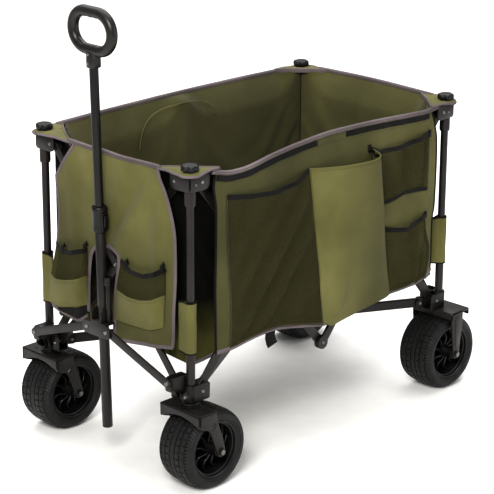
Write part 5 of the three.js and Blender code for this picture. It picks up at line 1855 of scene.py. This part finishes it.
s = Shell()
for pts in ((-352, 352),):
    tape(s, [(x, SIDE_Y - 0.6, RIM_FAR(x) + 0.4) for x in range(-360, 361, 8)], (0, 1, 0), 12.0, 8.4)
tape(s, [(a, far_y(a, b + 3), b + 3.5) for a, b in smooth_line([(352, 300), (200, 288), (0, 284), (-200, 290), (-350, 298)], 10)], (0, 1, 0), 9.5, 4.2)
for L_ in ([(-350, 298), (-356, 420), (-360, 560), (-356, 692)], [(352, 300), (356, 420), (362, 560), (356, 692)]):
    tape(s, [(a, far_y(a, b), b) for a, b in smooth_line(L_, 12)], (0, 1, 0), 5.0, 4.4, WEBBING)
for dz in (-3.0, 0.4):
    stitches(s, [(x, SIDE_Y - 4.8, RIM_FAR(x) + 0.4 + dz) for x in range(-354, 357, 6)], (0, -1, 0), 4.4, 2.2, 0.6, THREAD_DARK)
folds(s.done("far_panel_binding", None, slot=False, smooth_all=True), "far")
s = Shell()
tape(s, [(REAR_X - 0.6, y, RIM_REAR(y) + 0.2) for y in range(-176, 177, 8)], (1, 0, 0), 12.0, 8.4)
tape(s, [(rear_x(a, b), a, b) for a, b in smooth_line([(-174, 302), (-60, 293), (60, 293), (174, 302)], 10)], (1, 0, 0), 9.0, 4.0)
for q in (-1, 1):
    tape(s, [(rear_x(q * a, b), q * a, b) for a, b in smooth_line([(174, 300), (178, 420), (182, 560), (176, 694)], 12)], (1, 0, 0), 7.0, 4.0)
for dz in (-3.0, 0.4):
    stitches(s, [(REAR_X - 4.8, y, RIM_REAR(y) + 0.2 + dz) for y in range(-170, 171, 6)], (-1, 0, 0), 4.4, 2.2, 0.6, THREAD_DARK)
folds(s.done("rear_panel_binding", None, slot=False, smooth_all=True), "rear")

patch = cloth_panel("front_panel_underside_patch", rounded([(194, 309), (158, 301), (100, 297), (70, 318), (67, 340), (105, 324), (165, 308)], 3, 2), 5.0, lambda a, b: (front_x(a, b) - 2.0, a, b), WEBBING, 1.4, side="front")
SOFT.append((patch, (0.127, 0.045), 0.0026))
# piping of the pocket sewn on the far wall's inner face
s = Shell()
arc = smooth_line([(-146, 600), (-141, 631), (-126, 660), (-104, 676), (-72, 684), (-33, 686), (15, 685), (57, 677), (83, 661), (92, 640)], 8)
tape(s, [(a, TUB_Y - 2.6, b) for a, b in arc], (0, -1, 0), 2.4, 1.8, OLIVE)
folds(s.done("inner_pocket_piping", None, smooth_all=True), "far")

# ------------------------------------------------------------------ fabric: corner tabs over the post tops, and the sleeves lower down the posts
for end, sx in (("front", -1), ("rear", 1)):
    for sd, sy in (("left", -1), ("right", 1)):
        where = f"{end}_{sd}"
        cx, cy = sx * PX, sy * PY
        ex = -428 if sx < 0 else 421.5
        ey = sy * 241
        lx, ly = {(-1, -1): (68, 84), (-1, 1): (64, 106), (1, -1): (70, 84), (1, 1): (76, 78)}[(sx, sy)]
        A_, B_ = (ex, cy - sy * ly), (cx - sx * lx, ey)
        outer = []
        r_ = 24.0
        for k in range(7):
            t = math.radians(90 * k / 6)
            outer.append((cx + sx * r_ * math.cos(t) * (1.0 if sx < 0 else 0.82), cy + sy * r_ * math.sin(t)))
        outline = [A_, (cx + sx * (r_ - 1) * (1.0 if sx < 0 else 0.8), cy - sy * 8)] + outer + [(cx - sx * 8, cy + sy * (r_ - 1)), B_]
        if sx * sy > 0:
            outline = outline[::-1]

        def tab_z(x, y, cx=cx, cy=cy, sx=sx, sy=sy, ex=ex, ey=ey, A_=A_, B_=B_):
            d = math.hypot(x - cx, y - cy)
            rim = 698.5
            # drops a little towards its long inner edge, and is pressed down under the knob
            n_ = Vector((-(B_[1] - A_[1]), B_[0] - A_[0])).normalized()
            t = abs((Vector((x, y)) - Vector(A_)).dot(n_))
            z = rim + (0.5 if sx > 0 and sy > 0 else -3.0) * smooth(30, 0, t) - 1.8 * smooth(30, 12, d)
            z += 1.3 * nz(x, y, 0, 0.03, 8.0) * smooth(14, 30, d)
            over = max(0.0, math.hypot(max(0.0, (x - cx) * sx), max(0.0, (y - cy) * sy)) - 19.0)
            return z - 1.1 * over
        o = cloth_panel(f"corner_tab_{where}", outline, 5.0, lambda a, b, f=tab_z: (a, b, f(a, b)), OLIVE, 2.0, subdiv=1)
        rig.ride(o, f"top_{where}")
        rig.squash(o, "frame_fold", axis=(0, 1, 0), anchor=tuple(P(cx, cy, 690)), keep=0.7)
        SOFT.append((o, ((lx + 24) / 1000, (ly + 24) / 1000), (lx + 24) * (ly + 24) * 0.58e-6))
        s = Shell()
        inner = [Vector(A_).lerp(Vector(B_), i / 16) for i in range(17)]
        sag = [(p.x + sx * 2.0 * math.sin(math.pi * i / 16), p.y + sy * 2.0 * math.sin(math.pi * i / 16)) for i, p in enumerate(inner)]
        tape(s, [(a - sx * 0.6, b - sy * 0.6, tab_z(a, b) - 2.6) for a, b in sag], (-sx, -sy, 0), 11.5, 3.8)
        edge_pts = [A_] + [(cx + sx * (r_ - 1) * (1.0 if sx < 0 else 0.8), cy - sy * 8)] + outer + [(cx - sx * 8, cy + sy * (r_ - 1)), B_]
        tape(s, [(a, b, tab_z(a, b) - 0.5) for a, b in smooth_line(edge_pts, 4)], lambda i, p, cx=cx, cy=cy: (Vector((p[0] - cx, p[1] - cy, 6)) if False else Vector((0, 0, 1))), 6.5, 4.6)
        o = s.done(f"corner_tab_binding_{where}", None, slot=False, smooth_all=True)
        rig.ride(o, f"top_{where}")
        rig.squash(o, "frame_fold", axis=(0, 1, 0), anchor=tuple(P(cx, cy, 690)), keep=0.7)

        q = {(-1, -1): (-10, 28), (-1, 1): (-10, -28), (1, -1): (-30, -10 * -1), (1, 1): (-30, -10)}[(sx, sy)]
        q = Vector(q).normalized()
        pq = Vector((-q.y, q.x))

        def sleeve(u, v, cx=cx, cy=cy, q=q, pq=pq):
            t = 2 * math.pi * u
            c_, s_ = math.cos(t), math.sin(t)
            r0 = 11.9 + 0.35 * math.sin(3 * t + 9 * v)
            tip = max(0.0, c_) ** 3
            along = r0 * c_ + 15.0 * tip
            side_ = r0 * s_ * (1 - 0.55 * smooth(0.2, 1.0, c_))
            x = cx + q.x * along + pq.x * side_
            y = cy + q.y * along + pq.y * side_
            return x, y, lerp(305, 417, v) - 2.0 * tip * (1 if v > 0.5 else -1)
        o = surface(f"post_sleeve_{where}", sleeve, 40, 14, OLIVE, 1.6, body=f"corner_{where}", closed=True)
        SOFT.append((o, (0.105, 0.117)))
        s = Shell()
        for v in (0.0, 1.0):
            tape(s, [sleeve(i / 40, v) for i in range(40)], lambda i, p, cx=cx, cy=cy: Vector((p[0] - cx, p[1] - cy, 0)), 3.2, 2.6, WEBBING, closed=True)
        s.done(f"sleeve_binding_{where}", f"corner_{where}", slot=False, smooth_all=True)

for o, flat, *area in SOFT:
    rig.sheet(o, flat=flat, held="hung", area=area[0] if area else None)

# ------------------------------------------------------------------ camera, floor and light
cam_data = bpy.data.cameras.new("camera")
cam_data.lens = 2066.8972 / 494 * 36
cam_data.sensor_width = 36
cam_data.clip_end = 100
cam = bpy.data.objects.new("camera", cam_data)
scene.collection.objects.link(cam)
_az, _el, _roll = -0.8009124515, 0.3274446268, 0.0053143230
_back = Vector((math.sin(_az) * math.cos(_el), -math.cos(_az) * math.cos(_el), math.sin(_el)))
_right = Vector((math.cos(_az), math.sin(_az), 0))
_up = _back.cross(_right)
_r = math.cos(_roll) * _right + math.sin(_roll) * _up
_u = -math.sin(_roll) * _right + math.cos(_roll) * _up
M = Matrix.Identity(4)
for i in range(3):
    M[i][0], M[i][1], M[i][2] = _r[i], _u[i], _back[i]
M.translation = P(-3195.5788, -3088.8775, 1894.9083)
cam.matrix_world = M
scene.camera = cam


def aim(o, target):
    d = Vector(target) - o.location
    o.rotation_euler = d.to_track_quat("-Z", "Y").to_euler()


def area_light(name, loc, target, size, power, color=(1, 1, 1), size_y=None):
    L = bpy.data.lights.new(name, "AREA")
    L.shape = "RECTANGLE"
    L.size = size
    L.size_y = size_y or size
    L.energy = power
    L.color = color
    o = bpy.data.objects.new(name, L)
    o.location = loc
    scene.collection.objects.link(o)
    aim(o, target)
    return o


area_light("key", (-3.2, -2.1, 3.1), (0, 0, 0.4), 1.5, 185, (1.0, 0.985, 0.96))
area_light("fill", (1.8, -3.6, 1.5), (0, 0, 0.45), 1.6, 30, (0.97, 0.985, 1.0))
area_light("top", (1.2, 1.4, 4.6), (0.6, 0.7, 0.0), 6.0, 330, (1, 1, 1))

fm = bpy.data.meshes.new("floor")
fm.from_pydata([(-14, -14, 0), (14, -14, 0), (14, 14, 0), (-14, 14, 0)], [], [(0, 1, 2, 3)])
floor = bpy.data.objects.new("floor", fm)
scene.collection.objects.link(floor)
g = Mat("pale_floor")
fn = g.noise(14.0, 4.0, 0.6)
g.link(g.ramp(fn, (0.3, lin(243, 242, 240)), (0.7, lin(250, 249, 247))), g.p.inputs["Base Color"])
g.p.inputs["Roughness"].default_value = 0.75
fm.materials.append(g.m)
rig.stage(floor)

world = bpy.data.worlds.new("studio")
scene.world = world
world.use_nodes = True
bg = world.node_tree.nodes["Background"]
bg.inputs[0].default_value = (1.0, 1.0, 1.0, 1.0)
bg.inputs[1].default_value = 0.40
scene.view_settings.view_transform = "Standard"
scene.view_settings.exposure = 0.0
scene.view_settings.look = "Medium High Contrast"

VIS_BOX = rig.bounds()
with open("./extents.json", "w") as fh:
    json.dump({"cad": [list(v) for v in CAD_BOX], "visual": [list(v) for v in VIS_BOX]}, fh)
